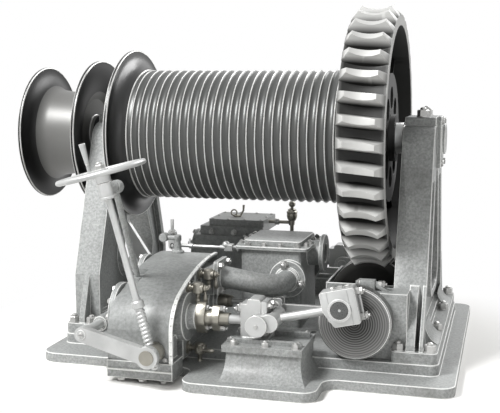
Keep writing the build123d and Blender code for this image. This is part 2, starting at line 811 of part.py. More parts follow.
def control_chest():
    chest = block(CHEST_X, (-CHEST_Y, CHEST_Y), (DECK, CHEST_TOP))
    chest = fillet(chest.edges().filter_by(Axis.Z), 18)
    flange = block((-148, 206), (-192, 192), (CHEST_TOP, CHEST_TOP + CHEST_FLANGE))
    chest += fillet(flange.edges().filter_by(Axis.Z), 22)
    chest += ring_x((168, INLET_FACE - 20), 60, y=0, z=INLET_Z)
    chest += ring_x((INLET_FACE - 20, INLET_FACE), 90, y=0, z=INLET_Z)
    for y in ((-OUTLET_Y, -170), (170, OUTLET_Y)):
        chest += ring_y(y, 84, x=OUTLET_X, z=OUTLET_Z)
    chest += ring_x((-150, CHEST_X[0] + 10), 24, y=STEM_Y, z=CONTROL_Z)
    cavity = block((-96, 148), (-150, 150), (DECK + 24, CHEST_TOP + CHEST_FLANGE + 1))
    chest -= fillet(cavity.edges().filter_by(Axis.Z), 30)
    chest -= ring_x((140, INLET_FACE + 1), 44, y=0, z=INLET_Z)
    chest -= ring_y((-OUTLET_Y - 1, OUTLET_Y + 1), PIPE_BORE, x=OUTLET_X, z=OUTLET_Z)
    return chest - ring_x((-151, -60), STEM + RUNNING, y=STEM_Y, z=CONTROL_Z)


def control_chest_cover():
    seat = CHEST_TOP + CHEST_FLANGE
    cover = block((-112, 164), (-150, 165), (seat, seat + 24))
    return fillet(cover.edges().filter_by(Axis.Z), 16)


def oil_cup():
    """Lidded cup on the rear steam pipe."""
    start, seat = pipe_points()[:2]
    along = (seat - start).normalized() * PIPE
    foot = seat.Z + PIPE - 6
    outline = [
        Line((0, foot), (10, foot)),
        Line((10, foot), (10, 510)),
        ThreePointArc((10, 510), (24, 528), (27, 554)),
        Line((27, 554), (29, 566)),
        Line((29, 566), (22, 570)),
        Line((22, 570), (22, 578)),
        Line((22, 578), (8, 584)),
        Line((8, 584), (8, 590)),
        ThreePointArc((8, 590), (18, 606), (7, 622)),
        Line((7, 622), (0, 622)),
        Line((0, 622), (0, foot)),
    ]
    cup = revolve(Plane.XZ * make_face(outline), Axis.Z)
    return back(Pos(seat.X, seat.Y, 0) * cup - bar(seat - along, seat + along, PIPE + 0.4))


def pipe_points():
    """Start, both ends of the bend and the end of the front steam pipe's middle line."""
    start = Vector(-150, -PIPE_Y, PIPE_Z)
    corner = Vector(OUTLET_X, -PIPE_Y, OUTLET_Z)
    fall = (corner - start).normalized()
    turn = Vector(0, 1, 0)
    end = Vector(OUTLET_X, -OUTLET_Y - 10, OUTLET_Z)
    return start, corner - fall * PIPE_BEND, corner + turn * PIPE_BEND, end


def pipe_run(radius, past=0.0):
    """Round rod along the front steam pipe, longer at both ends where asked."""
    start, first, last, end = pipe_points()
    fall = (first - start).normalized()
    turn = Vector(0, 1, 0)
    hinge = Axis(first + turn * PIPE_BEND, fall.cross(turn))
    bend = revolve(Plane(origin=first, z_dir=fall) * Circle(radius), hinge, 90)
    return bar(start - fall * past, first, radius) + bend + bar(last, end + turn * past, radius)


def steam_pipe():
    pipe = pipe_run(PIPE)
    pipe += ring_y((-OUTLET_Y - 34, -OUTLET_Y - 20), 58, x=OUTLET_X, z=OUTLET_Z)
    pipe += ring_y((-OUTLET_Y - 20, -OUTLET_Y), 87, x=OUTLET_X, z=OUTLET_Z)
    pipe += slab_x(Pos(-PIPE_Y, PIPE_Z) * RectangleRounded(156, 156, 14), (-162, -142))
    return pipe - pipe_run(PIPE_BORE, 40)


def worm_trough():
    trough = block((296, 306), (-204, 204), (DECK, 330))
    for y in (-204, 194):
        end = block((296, 700), (y, y + 10), (DECK, 330))
        end -= ring_y((y - 1, y + 11), WORM_SHAFT + 6)
        end -= block((WHEEL_X - 56, WHEEL_X + 56), (y - 1, y + 11), (ENGINE_Z, 340))
        trough += end
    return trough


# Clutch gear


def handwheel():
    wheel = revolve(Plane.XZ * Pos(HANDWHEEL, 0) * Circle(11), Axis.Z)
    wheel += Pos(0, 0, -14) * Cylinder(31, 56)
    for number in range(4):
        angle = math.radians(45 + 90 * number)
        tip = ((HANDWHEEL - 4) * math.cos(angle), (HANDWHEEL - 4) * math.sin(angle), 0)
        wheel += bar((0, 0, -4), tip, 9)
    peg = Pos(HANDWHEEL * math.cos(PEG_ANGLE), HANDWHEEL * math.sin(PEG_ANGLE), 0)
    wheel += peg * Pos(0, 0, 20) * Cylinder(8, 40)
    wheel += peg * Pos(0, 0, 85) * Cone(9, 14, 90)
    wheel -= Pos(0, 0, -14) * Cylinder(SPINDLE, 60)
    return spindle_plane(WHEEL_UP).location * wheel


def clutch_spindle():
    spindle = bar(spindle_point(240), spindle_point(WHEEL_UP + 24), SPINDLE)
    spindle += bar(spindle_point(190), spindle_point(240), 17)
    spindle += bar(spindle_point(200), spindle_point(230), 26)
    return spindle + bar(spindle_point(-64), spindle_point(190), SCREW)


def spindle_swivel():
    """Sleeve that the spindle turns in, with a side pin that swings in the stay."""
    sleeve = bar(spindle_point(SWIVEL_UP - 36), spindle_point(SWIVEL_UP + 28), 30)
    x, y, z = spindle_point(SWIVEL_UP)
    sleeve += ring_y((y + 20, STAY_Y[0] - 2), 22, x=x, z=z)
    sleeve += ring_y((STAY_Y[0] - 2, STAY_Y[1] + 6), STAY_PIN, x=x, z=z)
    return sleeve - bar(spindle_point(SWIVEL_UP - 60), spindle_point(SWIVEL_UP + 60), SPINDLE + RUNNING)


def spindle_bracket():
    """Slender stay from the swivel down to a foot on the lower end of the hood."""
    x, y, z = spindle_point(SWIVEL_UP)
    stay = ring_y(STAY_Y, 28, x=x, z=z)
    foot = block((HOOD_SHOULDER_X + 4, HOOD_STEP_X), (-665, -585), (350, 402))
    foot = fillet(foot.edges().filter_by(Axis.Z), 12)
    stay += bar((x, sum(STAY_Y) / 2, z - 20), (x, -625, 390), 13)
    stay += foot
    stay -= hood_solid()
    return stay - ring_y((STAY_Y[0] - 1, STAY_Y[1] + 1), STAY_PIN + RUNNING, x=x, z=z)


def clutch_lever():
    shaft_end = Pos(CLUTCH_X, CLUTCH_Z)
    nut_end = Pos(NUT_X, NUT_Z)
    face = make_hull((shaft_end * Circle(31)).edges() + (nut_end * Circle(34)).edges())
    face += nut_end * Circle(46)
    lever = slab_y(face, LEVER_Y)
    lever += ring_y((LEVER_Y[1], LEVER_Y[1] + 26), 31, x=CLUTCH_X, z=CLUTCH_Z)
    lever -= ring_y((LEVER_Y[0] - 1, LEVER_Y[1] + 27), LEVER_SHAFT, x=CLUTCH_X, z=CLUTCH_Z)
    return lever - ring_y((LEVER_Y[0] - 1, LEVER_Y[1] + 1), 31 + RUNNING, x=NUT_X, z=NUT_Z)


def clutch_nut():
    nut = ring_y((LEVER_Y[0] - 4, LEVER_Y[1] + 2), 31, x=NUT_X, z=NUT_Z)
    nut += ring_y((LEVER_Y[1] + 0.5, HOOD_FRONT - 6), 42, x=NUT_X, z=NUT_Z)
    return nut - bar(spindle_point(-60), spindle_point(60), SCREW + 0.5)


def clutch_arm():
    """Lever shaft and the arm on it, whose shoe bears on the thrust bush through the left arch."""
    elbow = Pos(-772, 545)
    arm = ring_y((LEVER_Y[0] - 3, 40), LEVER_SHAFT, x=CLUTCH_X, z=CLUTCH_Z)
    arm += ring_y((-76, -36), 42, x=CLUTCH_X, z=CLUTCH_Z)
    lower = make_hull((Pos(CLUTCH_X, CLUTCH_Z) * Circle(40)).edges() + (elbow * Circle(24)).edges())
    upper = make_hull((elbow * Circle(24)).edges() + (Pos(-772, 792) * Circle(20)).edges())
    arm += slab_y(lower, (-60, -30))
    arm += slab_y(upper, (-60, -30))
    return arm + block((-780, -690.6), (-62, -24), (786, 812))


def clutch_shaft_bearings():
    solids = []
    for y, sleeve in (((-524, -470), (-800, -470)), ((-20, 30), (-30, 36))):
        stand = block((CLUTCH_X - 30, CLUTCH_X + 30), y, (DECK, CLUTCH_Z))
        stand += block((CLUTCH_X - 36, CLUTCH_X + 64), (y[0] - 4, y[1] + 4), (DECK, DECK + 18))
        stand += ring_y(sleeve, 32, x=CLUTCH_X, z=CLUTCH_Z)
        solids.append(stand - ring_y((-900, 100), LEVER_SHAFT + RUNNING, x=CLUTCH_X, z=CLUTCH_Z))
    return group(*solids)


# Control rod and drain cocks


def control_bracket():
    x, z = CONTROL_PIVOT
    lug = block((x + 50, x + 86), (-300, -256), (HOOD_TOP - 20, z + 10)) - hood_solid()
    lug += bar((x, -270, z), (x, CONTROL_Y - 17, z), 9)
    return lug + block((x - 14, x + 70), (-292, -262), (z - 14, z + 14))


def control_lever():
    x, z = CONTROL_PIVOT
    face = make_hull((Pos(x, z) * Circle(22)).edges() + (Pos(x, CONTROL_Z) * Circle(18)).edges())
    face -= Pos(x, CONTROL_Z) * SlotOverall(30, 18.6, rotation=90)
    lever = slab_y(face, (CONTROL_Y - 16, CONTROL_Y - 2))
    lever += bar((x, CONTROL_Y - 9, z + 16), (x, CONTROL_Y - 9, z + 70), 8)
    lever -= ring_y((CONTROL_Y - 40, CONTROL_Y + 10), 9 + RUNNING, x=x, z=z)
    lever += ring_y((CONTROL_Y - 2, CONTROL_Y + 2), 20, x=x, z=z)
    return lever


def control_rod():
    x = CONTROL_PIVOT[0]
    y = CONTROL_Y + 14
    rod = bar((x, y, CONTROL_Z), (-196, y, CONTROL_Z), 8)
    rod += bar((-388, y, CONTROL_Z), (-388, y, CONTROL_Z + 36), 5)
    rod += ring_y((CONTROL_Y + 2, CONTROL_Y + 26), 16, x=x, z=CONTROL_Z)
    rod += ring_y((CONTROL_Y - 15, CONTROL_Y + 3), 8, x=x, z=CONTROL_Z)
    rod += block((-212, -172), (CONTROL_Y + 2, CONTROL_Y + 44), (CONTROL_Z - 16, CONTROL_Z + 16))
    return rod + ring_x((-176, -95), STEM, y=STEM_Y, z=CONTROL_Z)


def drain_cocks():
    solids = []
    for name, (y, z) in COCKS.items():
        root = -232 if name == "lower" else -222
        body = ring_x((root, COCK_X), 12, y=y, z=z)
        body += ring_x((COCK_X - 36, COCK_X), 20, y=y, z=z)
        body += ring_z((z - 50, z), 10, x=COCK_X - 26, y=y)
        if name == "lower":
            body += ring_y((y - 21.6, y), 13, x=LOW_COCK_X, z=z)
        solids += [body, back(body)]
    return group(*solids)


def cock_handle(name):
    """Handle of one front cock: hanging on the two upper ones, level and to the right on the lower one."""
    y, z = COCKS[name]
    if name == "lower":
        x = LOW_COCK_X
        face = make_hull((Pos(x, z) * Circle(14)).edges() + (Pos(x + 70, z) * Circle(7)).edges())
        handle = slab_y(face, (y - 33, y - 22))
        return handle + ring_y((y - 42, y - 22), 9, x=x, z=z)
    face = make_hull((Pos(y, z) * Circle(16)).edges() + (Pos(y + 6, z - COCK_REACH) * Circle(8)).edges())
    handle = slab_x(face, (COCK_X + 0.4, COCK_X + 11))
    return handle + ring_x((COCK_X + 0.4, COCK_X + 20), 9, y=y, z=z)


def save(name, shape):
    export_step(shape, f"parts/{name}.step")


def main():
    os.makedirs("parts", exist_ok=True)
    save("bedplate", bedplate())
    save("left_standard", left_standard())
    save("right_standard", right_standard())
    save("bearing_caps", bearing_caps())
    save("bearing_bushes", bearing_bushes())
    save("shaft_end_cover", shaft_end_cover())
    save("drum_barrel", drum_barrel())
    save("drum_flange", drum_flange())
    save("thrust_bush", thrust_bush())
    save("drum_shaft", drum_shaft())
    save("warping_head", warping_head())
    save("worm_wheel", worm_wheel())
    save("clutch_lining", clutch_lining())
    save("worm", worm())
    save("worm_shaft", worm_shaft())
    save("crank_discs", crank_discs())
    save("eccentric_sheaves", eccentric_sheaves())
    save("cylinder_heads", cylinder_heads())
    save("rear_chest_cover", rear_chest_cover())
    save("glands", glands())
    for side, turn, crank in (("front", lambda shape: shape, FRONT_CRANK), ("rear", back, REAR_CRANK)):
        save(f"{side}_cylinder", turn(cylinder()))
        save(f"{side}_lagging", turn(lagging()))
        save(f"{side}_guide", turn(guide()))
        save(f"{side}_steam_pipe", turn(steam_pipe()))
        save(f"{side}_piston", turn(piston(crank)))
        save(f"{side}_crosshead", turn(crosshead(crank)))
        save(f"{side}_connecting_rod", turn(connecting_rod(crank)))
        save(f"{side}_valve_rod", turn(valve_rod(crank)))
        save(f"{side}_eccentric_rod", turn(eccentric_rod(crank)))
    save("control_chest", control_chest())
    save("control_chest_cover", control_chest_cover())
    save("oil_cup", oil_cup())
    save("worm_trough", worm_trough())
    save("handwheel", handwheel())
    save("clutch_spindle", clutch_spindle())
    save("spindle_swivel", spindle_swivel())
    save("spindle_bracket", spindle_bracket())
    save("clutch_lever", clutch_lever())
    save("clutch_nut", clutch_nut())
    save("clutch_arm", clutch_arm())
    save("clutch_shaft_bearings", clutch_shaft_bearings())
    save("control_bracket", control_bracket())
    save("control_lever", control_lever())
    save("control_rod", control_rod())
    save("drain_cocks", drain_cocks())
    for name in COCKS:
        save(f"front_{name}_cock", cock_handle(name))
        save(f"rear_{name}_cock", back(cock_handle(name)))


main()
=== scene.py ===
"""Looks of a steam winch: its finishes, fasteners, screw thread, cock handles and small fittings."""

import json
import math

import bmesh
import bpy
from mathutils import Matrix, Vector


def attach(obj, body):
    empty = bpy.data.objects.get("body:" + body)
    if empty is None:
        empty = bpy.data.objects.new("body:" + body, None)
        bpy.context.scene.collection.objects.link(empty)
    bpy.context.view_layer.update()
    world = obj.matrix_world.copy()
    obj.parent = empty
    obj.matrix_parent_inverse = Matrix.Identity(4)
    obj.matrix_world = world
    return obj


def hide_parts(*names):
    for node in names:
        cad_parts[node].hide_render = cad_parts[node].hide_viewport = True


MM = 0.001
UP = (0, 0, 1)
DOWN = (0, 0, -1)
LEFT = (-1, 0, 0)
RIGHT = (1, 0, 0)
FORE = (0, -1, 0)
AFT = (0, 1, 0)
SIDES = (("front", -1), ("rear", 1))

# Camera of the picture, in millimetres and degrees
CAMERA_PLACE = (1095.7, -4460.8, 1266.6)
CAMERA_DOWN = 7.7
CAMERA_ROUND = 15.3
CAMERA_LENS = 68.4
CAMERA_REACH = 100_000

# Lamps as place and width in metres and power in watts, all aimed at the middle of the winch
LAMPS = {
    "key": ((-2.9, -3.6, 5.5), 2.0, 620),
    "fill": ((3.6, -4.4, 2.6), 3.5, 30),
    "back": ((2.4, 4.4, 4.0), 3.0, 240),
}
LAMP_AIM = (0, 0, 0.6)
SKY_STRENGTH = 0.36
# Floor in metres: half its width, and the distances between which it turns to plain white
FLOOR_HALF = 40
FLOOR_FADE = (0.95, 1.6)

# Patterns in the finishes, as cells in a metre
STAINS = 4.5
HANDLING = 9.0
IRON_GRAIN = 120.0
# Width in millimetres of the ragged line between two tones, and the share that a turning ring adds
RAGGED = 1.5
RING_TONE = 0.3

# Edges that turn by more degrees than this are softened on the CAD nodes and stay sharp on the pieces
SHARP_ANGLE = 35
# Turn in degrees from one fastener to the next, so that their corners don't line up
FASTENER_TURN = 37

# Sizes of the winch from here on are in millimetres, and angles in degrees

# Points closer than this are made one: in a CAD node, a piece and a turned part
NODE_WELD = 0.01
PIECE_WELD = 0.001
TURNED_WELD = 0.0001

# Drum, with the radius of the crests between its grooves, and worm wheel
DRUM_Z = 990
CREST = 315
WHEEL_X = 497
SHAFT_END = -1180

# Standards: bearing caps, feet and the end cover of the right bearing
CAP_TOP = 1092
CAP_STUD_Y = 95
BEARINGS_X = (-794, 714)
FOOT_TOP = 138
LEFT_FOOT_X = (-838, -752)
LEFT_FOOT_Y = 497
RIGHT_FOOT_X = (674, 806)
RIGHT_FOOT_Y = 566
SILL_NUT_Y = 210
END_COVER = (796, 976)
END_COVER_HALF = (66, 94)

# Engines, with the turn of each crank at rest and the lead of its eccentric
ENGINE_Y = 690
ENGINE_Z = 253
VALVE_Y = 370
THROW = 90
ROD = 346
CRANKS = {"front": 120, "rear": 30}
ECCENTRIC = 20
ECCENTRIC_LEAD = 100
# Fork pin of a valve rod at mid-stroke, and the eccentric strap from the middle of its sheave
VALVE_PIN_X = 118
FORK_HALF = 40
STRAP_TOP = 132
STRAP_BACK = 136
STRAP_BOLT = 32
# Glands along X, with the height of their studs from the rod
GLAND_ROOT = -126
GLAND_FACE = -66
GLAND_STUD_END = -34
GLAND_STUD_RISE = 42
# Bolts of the guide pedestal, as distance out, places along X and width across
GUIDE_TOP = 178
GUIDE_BOLTS = ((808, (26, 161, 288), 28), (590, (10, 290), 24))
KEEPER_TOP = 196
KEEPER_BOLTS_X = (4, 292)
KEEPER_BOLTS_Y = (772, 608)
# Crosshead, along X from its gudgeon, with its cap plate and the heights of the bolts
CROSSHEAD_BACK = -80
CROSSHEAD_CAP_X = (8, 33)
CROSSHEAD_CAP_HALF = 44
CROSSHEAD_CAP_Z = (200, 346)
CROSSHEAD_BOLT = 26
BACK_BOLT_Z = 308
CAP_BOLTS_Z = (327, 209)
GUDGEON_HALF = 100
# Big end of a connecting rod: its far face from the eye, its top and its side faces
BIG_END_FACE = 76
BIG_END_TOP = 83
BIG_END_SIDE = (38, 42.5)

# Hoods, with the two arcs over the front one as three points of Y and Z each
HOOD_MOUTH = -215
HOOD_FOOT = 95
HOOD_SIDE = 875
HOOD_SPRING = 225
HOOD_ARCS = (
    ((-HOOD_SIDE, HOOD_SPRING), (-840, 308), (-770, 360)),
    ((-770, 360), (-597, 413), (-250, 447)),
)
RIM_WIDTH = 16
RIM_THICK = 9
RIVET = 9
RIVET_OUT = 6
HEAD_FACE = -530
HEAD_BOLTS = 112
VALVE_COVER = (390, 345)
VALVE_COVER_BOLTS = 92
BULGE_BOLTS_X = (-448, -354, -259)
BULGE_BOTTOM = (866, 20)
STRIP_START = -509
STRIP_Y = (880, 890)
STRIP_Z = (54, 62)

# Control chest and steam pipes
FLANGE_TOP = 478
FLANGE_NUT = 22
FLANGE_NUT_Y = 172
FLANGE_NUTS_X = (-131, 186)
OUTLET = (114, 216, 334)
OUTLET_BOLTS = 70
PIPE_Y = 405
PIPE_Z = 376
SQUARE_FLANGE = -142
SQUARE_BOLT = 57
REAR_COVER_TOP = 530
TEST_COCK = (-300, 392, 0)
OIL_PIPE_X = (-129, -12)
OIL_PIPE_Z = 508

# Lugs on the worm shaft housings, with a lip that slopes down from them
LUG_X = (500, 566)
LUG_Y = 500
LUG_HALF = 24
LUG_Z = (370, 416)
LIP_ROOT = (562, 0, 412)
LIP_SLOPE = 32
LIP_LONG = 84
LIP_HALF = 18
LIP_THICK = 16
LUG_BOLT_X = (482, 598)
LUG_BOLT_Z = 398

# Control gear on the front hood: pivot of its lever as X and height, post and rod
CONTROL = (-470, 518)
POST_X = -402
POST_Y = -278
POST_FOOT_TOP = 454
POST_PIN_END = -175
CONTROL_ROD_Y = -144
CONTROL_ROD_Z = 458
CONTROL_BALL = (-206, -140, 470)

# Clutch gear at the left: lever shaft as X and height, its bearings, and the spindle in its nut
LEVER_SHAFT = (-574, 222)
LEVER_SHAFT_END = -989
LEVER_BEARINGS_Y = (-497, 5)
LEVER_BEARING_NUT = (-527, 109)
CLUTCH_NUT = (-290, -922, 145)
SPINDLE_LEAN = 14.5
SPINDLE_TIP = 2.5
SWIVEL_UP = 700
WHEEL_UP = 772
THREAD_PITCH = 17
THREAD_TURNS = 14.5
THREAD_START = -58
THREAD_STEPS = 18

# Drain cocks, as distance from the middle and height
COCKS = {"upper": (660, 372), "lower": (640, 100), "chest": (508, 402)}
COCK_BARREL_X = -176
COCK_HANDLE_X = -144
LOW_HANDLE_X = -168
COCK_ROOT = -222
LOW_COCK_ROOT = -232

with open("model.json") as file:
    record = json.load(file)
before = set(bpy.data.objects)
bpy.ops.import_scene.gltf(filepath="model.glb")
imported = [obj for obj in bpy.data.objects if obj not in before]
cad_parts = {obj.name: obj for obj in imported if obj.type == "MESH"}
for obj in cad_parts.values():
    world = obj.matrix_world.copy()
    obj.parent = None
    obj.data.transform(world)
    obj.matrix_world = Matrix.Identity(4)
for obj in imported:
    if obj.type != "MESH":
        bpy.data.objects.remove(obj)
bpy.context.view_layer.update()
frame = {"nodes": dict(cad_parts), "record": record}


# Finishes


def linear(hex_colour):
    """Linear RGBA of an sRGB hex colour."""
    channels = []
    for start in (0, 2, 4):
        value = int(hex_colour[start : start + 2], 16) / 255
        channels.append(value / 12.92 if value <= 0.04045 else ((value + 0.055) / 1.055) ** 2.4)
    return (*channels, 1.0)


def add(tree, kind, values=None, links=None, **settings):
    """Adds a node with its settings, socket values and incoming links."""
    node = tree.nodes.new(kind)
    for name, value in settings.items():
        setattr(node, name, value)
    for socket, value in (values or {}).items():
        node.inputs[socket].default_value = value
    for socket, source in (links or {}).items():
        tree.links.new(source, node.inputs[socket])
    return node


def start_finish(name, metallic, roughness, coat=0.0):
    """New material with its shader values set, given with its node tree, shader and object place."""
    material = bpy.data.materials.new(name)
    material.use_nodes = True
    tree = material.node_tree
    shader = tree.nodes["Principled BSDF"]
    shader.inputs["Metallic"].default_value = metallic
    shader.inputs["Roughness"].default_value = roughness
    shader.inputs["Coat Weight"].default_value = coat
    shader.inputs["Coat Roughness"].default_value = 0.12
    place = add(tree, "ShaderNodeTexCoord").outputs["Object"]
    return material, tree, shader, place


def enamel(name, dark, light, grime, roughness, skin_mm, skin_depth_mm, coat=0.0):
    """Brushed machine enamel: the pebbled skin shows through it and old oil darkens it in patches."""
    material, tree, shader, place = start_finish(name, 0.0, roughness, coat)
    skin = add(
        tree,
        "ShaderNodeTexNoise",
        {"Scale": 1 / (skin_mm * MM), "Detail": 3.0, "Roughness": 0.65},
        {"Vector": place},
    )
    stain = add(
        tree,
        "ShaderNodeTexNoise",
        {"Scale": STAINS, "Detail": 5.0, "Roughness": 0.6},
        {"Vector": place},
    )
    tone = add(
        tree,
        "ShaderNodeMapRange",
        {"From Min": 0.34, "From Max": 0.66},
        {"Value": skin.outputs["Fac"]},
    )
    paint = add(
        tree,
        "ShaderNodeMix",
        {6: linear(dark), 7: linear(light)},
        {0: tone.outputs["Result"]},
        data_type="RGBA",
    )
    patch = add(
        tree,
        "ShaderNodeMapRange",
        {"From Min": 0.52, "From Max": 0.74, "To Max": 0.55},
        {"Value": stain.outputs["Fac"]},
    )
    soiled = add(
        tree,
        "ShaderNodeMix",
        {7: linear(grime)},
        {0: patch.outputs["Result"], 6: paint.outputs[2]},
        data_type="RGBA",
    )
    tree.links.new(soiled.outputs[2], shader.inputs["Base Color"])
    relief = add(
        tree,
        "ShaderNodeBump",
        {"Strength": 0.5, "Distance": skin_depth_mm * MM},
        {"Height": skin.outputs["Fac"]},
    )
    tree.links.new(relief.outputs["Normal"], shader.inputs["Normal"])
    return material


def bright_metal(name, dark, light, metallic, roughness, grain_mm):
    """Filed or turned metal: fine scratches with a faint handled tone."""
    material, tree, shader, place = start_finish(name, metallic, roughness)
    grain = add(
        tree,
        "ShaderNodeTexNoise",
        {"Scale": 1 / (grain_mm * MM), "Detail": 4.0, "Roughness": 0.7},
        {"Vector": place},
    )
    handled = add(tree, "ShaderNodeTexNoise", {"Scale": HANDLING, "Detail": 3.0}, {"Vector": place})
    tone = add(
        tree,
        "ShaderNodeMapRange",
        {"From Min": 0.3, "From Max": 0.7},
        {"Value": handled.outputs["Fac"]},
    )
    colour = add(
        tree,
        "ShaderNodeMix",
        {6: linear(dark), 7: linear(light)},
        {0: tone.outputs["Result"]},
        data_type="RGBA",
    )
    tree.links.new(colour.outputs[2], shader.inputs["Base Color"])
    gloss = add(
        tree,
        "ShaderNodeMapRange",
        {"From Min": 0.3, "From Max": 0.7, "To Min": roughness - 0.07, "To Max": roughness + 0.1},
        {"Value": grain.outputs["Fac"]},
    )
    tree.links.new(gloss.outputs["Result"], shader.inputs["Roughness"])
    relief = add(
        tree,
        "ShaderNodeBump",
        {"Strength": 0.12, "Distance": 0.05 * MM},
        {"Height": grain.outputs["Fac"]},
    )
    tree.links.new(relief.outputs["Normal"], shader.inputs["Normal"])
    return material


def by_radius(name, axis, inner, outer, radii, metallic, roughness, ring_mm=0.0, limits=None, beyond=0.0):
    """Metal whose colour changes with the distance from an axis, with turning rings where a pitch is given.

    Beyond limits along X, in millimetres, one share of the outer colour is kept.
    """
    material, tree, shader, place = start_finish(name, metallic, roughness)
    centre, square_to_axis = axis
    shifted = add(
        tree,
        "ShaderNodeVectorMath",
        {1: [value * MM for value in centre]},
        {0: place},
        operation="SUBTRACT",
    )
    across = add(
        tree,
        "ShaderNodeVectorMath",
        {1: square_to_axis},
        {0: shifted.outputs["Vector"]},
        operation="MULTIPLY",
    )
    radius = add(tree, "ShaderNodeVectorMath", None, {0: across.outputs["Vector"]}, operation="LENGTH")
    grain = add(tree, "ShaderNodeTexNoise", {"Scale": IRON_GRAIN, "Detail": 4.0}, {"Vector": place})
    ragged = add(
        tree,
        "ShaderNodeMath",
        {1: RAGGED * MM, 2: -RAGGED / 2 * MM},
        {0: grain.outputs["Fac"]},
        operation="MULTIPLY_ADD",
    )
    edge = add(
        tree,
        "ShaderNodeMath",
        None,
        {0: radius.outputs["Value"], 1: ragged.outputs["Value"]},
        operation="ADD",
    )
    tone = add(
        tree,
        "ShaderNodeMapRange",
        {"From Min": radii[0] * MM, "From Max": radii[1] * MM},
        {"Value": edge.outputs["Value"]},
    )
    share = tone.outputs["Result"]
    if limits:
        along = add(tree, "ShaderNodeSeparateXYZ", None, {0: place}).outputs["X"]
        above = add(tree, "ShaderNodeMath", {1: limits[0] * MM}, {0: along}, operation="GREATER_THAN")
        below = add(tree, "ShaderNodeMath", {1: limits[1] * MM}, {0: along}, operation="LESS_THAN")
        within = add(
            tree,
            "ShaderNodeMath",
            None,
            {0: above.outputs["Value"], 1: below.outputs["Value"]},
            operation="MULTIPLY",
        )
        share = add(tree, "ShaderNodeMix", {2: beyond}, {0: within.outputs["Value"], 3: share}).outputs[0]
    height = grain.outputs["Fac"]
    if ring_mm:
        rings = add(
            tree,
            "ShaderNodeMath",
            {1: 2 * math.pi / (ring_mm * MM)},
            {0: radius.outputs["Value"]},
            operation="MULTIPLY",
        )
        wave = add(tree, "ShaderNodeMath", None, {0: rings.outputs["Value"]}, operation="SINE")
        height = wave.outputs["Value"]
        toned = add(tree, "ShaderNodeMath", {1: RING_TONE}, {0: height, 2: share}, operation="MULTIPLY_ADD")
        share = toned.outputs["Value"]
    colour = add(
        tree,
        "ShaderNodeMix",
        {6: linear(inner), 7: linear(outer)},
        {0: share},
        data_type="RGBA",
    )
    tree.links.new(colour.outputs[2], shader.inputs["Base Color"])
    relief = add(tree, "ShaderNodeBump", {"Strength": 0.5, "Distance": 0.12 * MM}, {"Height": height})
    tree.links.new(relief.outputs["Normal"], shader.inputs["Normal"])
    return material


# Axes of the drum and of the worm, as a point and the directions square to the axis
DRUM_AXIS = ((0, 0, DRUM_Z), (0, 1, 1))
WORM_AXIS = ((WHEEL_X, 0, ENGINE_Z), (1, 0, 1))

# Grey enamel on sand-cast iron: a soft sheen over a pebbled skin, drawn at 11 mm so that it shows
CASTING = enamel("grey_enamel_on_casting", "7f8180", "9fa1a0", "565653", 0.46, 11, 0.6)
# The same enamel on rolled sheet, smoother
SHEET_PAINT = enamel("grey_enamel_on_sheet", "7f8180", "959796", "60605d", 0.4, 16, 0.2)
# Black japan on turned cast iron: nearly black with a clear gloss
JAPAN = enamel("black_japan_on_iron", "080808", "0f1010", "171614", 0.33, 24, 0.15, 0.1)
# Warping head: japan worn to bright iron where the rope runs on the waist
WORN_JAPAN = by_radius(
    "rope_worn_japan",
    DRUM_AXIS,
    "70706e",
    "0a0a0a",
    (200, 275),
    0.3,
    0.42,
    limits=(-1150, -912),
    beyond=1.0,
)
# Near-white enamel on the edges of castings and sheet: a painted highlight along the edges, with the enamel
# rubbed thin there
EDGE_HIGHLIGHT_AND_WEAR = enamel("enamel_edge_highlight_and_wear", "d2d3d1", "e4e5e3", "a8a8a5", 0.4, 9, 0.1)
# Japan rubbed to the iron on the rims
RUBBED_RIM = bright_metal("rubbed_iron_rim", "b4b4b2", "dcdcda", 0.6, 0.35, 6)
# Turned dark cast iron with a near-white painted highlight along the crests between the rope grooves
DRUM_IRON_WITH_CREST_HIGHLIGHT = by_radius(
    "cast_iron_with_crest_highlight",
    DRUM_AXIS,
    "4a4b4a",
    "f4f4f2",
    (CREST - 2.6, CREST - 1.1),
    0.4,
    0.36,
    limits=(-618, 392),
)
# Cut cast iron, black towards the tooth roots as painted shade between the teeth, lighter on the tips and
# side faces
WHEEL_IRON_WITH_ROOT_SHADE = by_radius(
    "cut_iron_with_painted_root_shade",
    DRUM_AXIS,
    "161614",
    "b6b6b4",
    (556, 588),
    0.25,
    0.55,
    limits=(WHEEL_X - 100, WHEEL_X + 100),
    beyond=0.6,
)
# Cut iron of the worm, near black all over as painted shade for the deep shadow it sits in under the wheel
WORM_IRON_DARKENED_AS_SHADE = by_radius("worm_iron_painted_dark_as_shade", WORM_AXIS, "121210", "3c3c3a", (150, 186), 0.5, 0.34)
# Faced steel of the crank discs with rings left by the lathe, drawn at 10 mm so that they show
FACED_STEEL = by_radius("faced_steel", WORM_AXIS, "2c2c2b", "828281", (30, 165), 0.8, 0.32, 10)
# Bright turned steel of rods, shafts and levers
STEEL = bright_metal("bright_turned_steel", "b0b1b0", "c8c9c8", 0.6, 0.4, 5)
# Its edges, brighter where they are handled
STEEL_EDGE = bright_metal("handled_steel_edge", "d2d2d0", "e8e8e6", 0.7, 0.3, 5)
# Ends of pins, darker than the filed faces round them
PIN_STEEL = bright_metal("dark_pin_steel", "4c4d4c", "6c6d6c", 0.85, 0.28, 6)
# Machined gunmetal of bushes, glands and cocks, greyed by handling
GUNMETAL = bright_metal("machined_gunmetal", "8d8a81", "a6a39a", 0.85, 0.36, 6)
# Forged nuts and studs, wiped with oil
NUT_STEEL = bright_metal("oiled_nut_steel", "a4a4a2", "c4c4c2", 0.7, 0.36, 5)
# End-grain wood blocks
WOOD = enamel("end_grain_wood", "5d432b", "6e5136", "3a2a1b", 0.7, 4, 0.4)
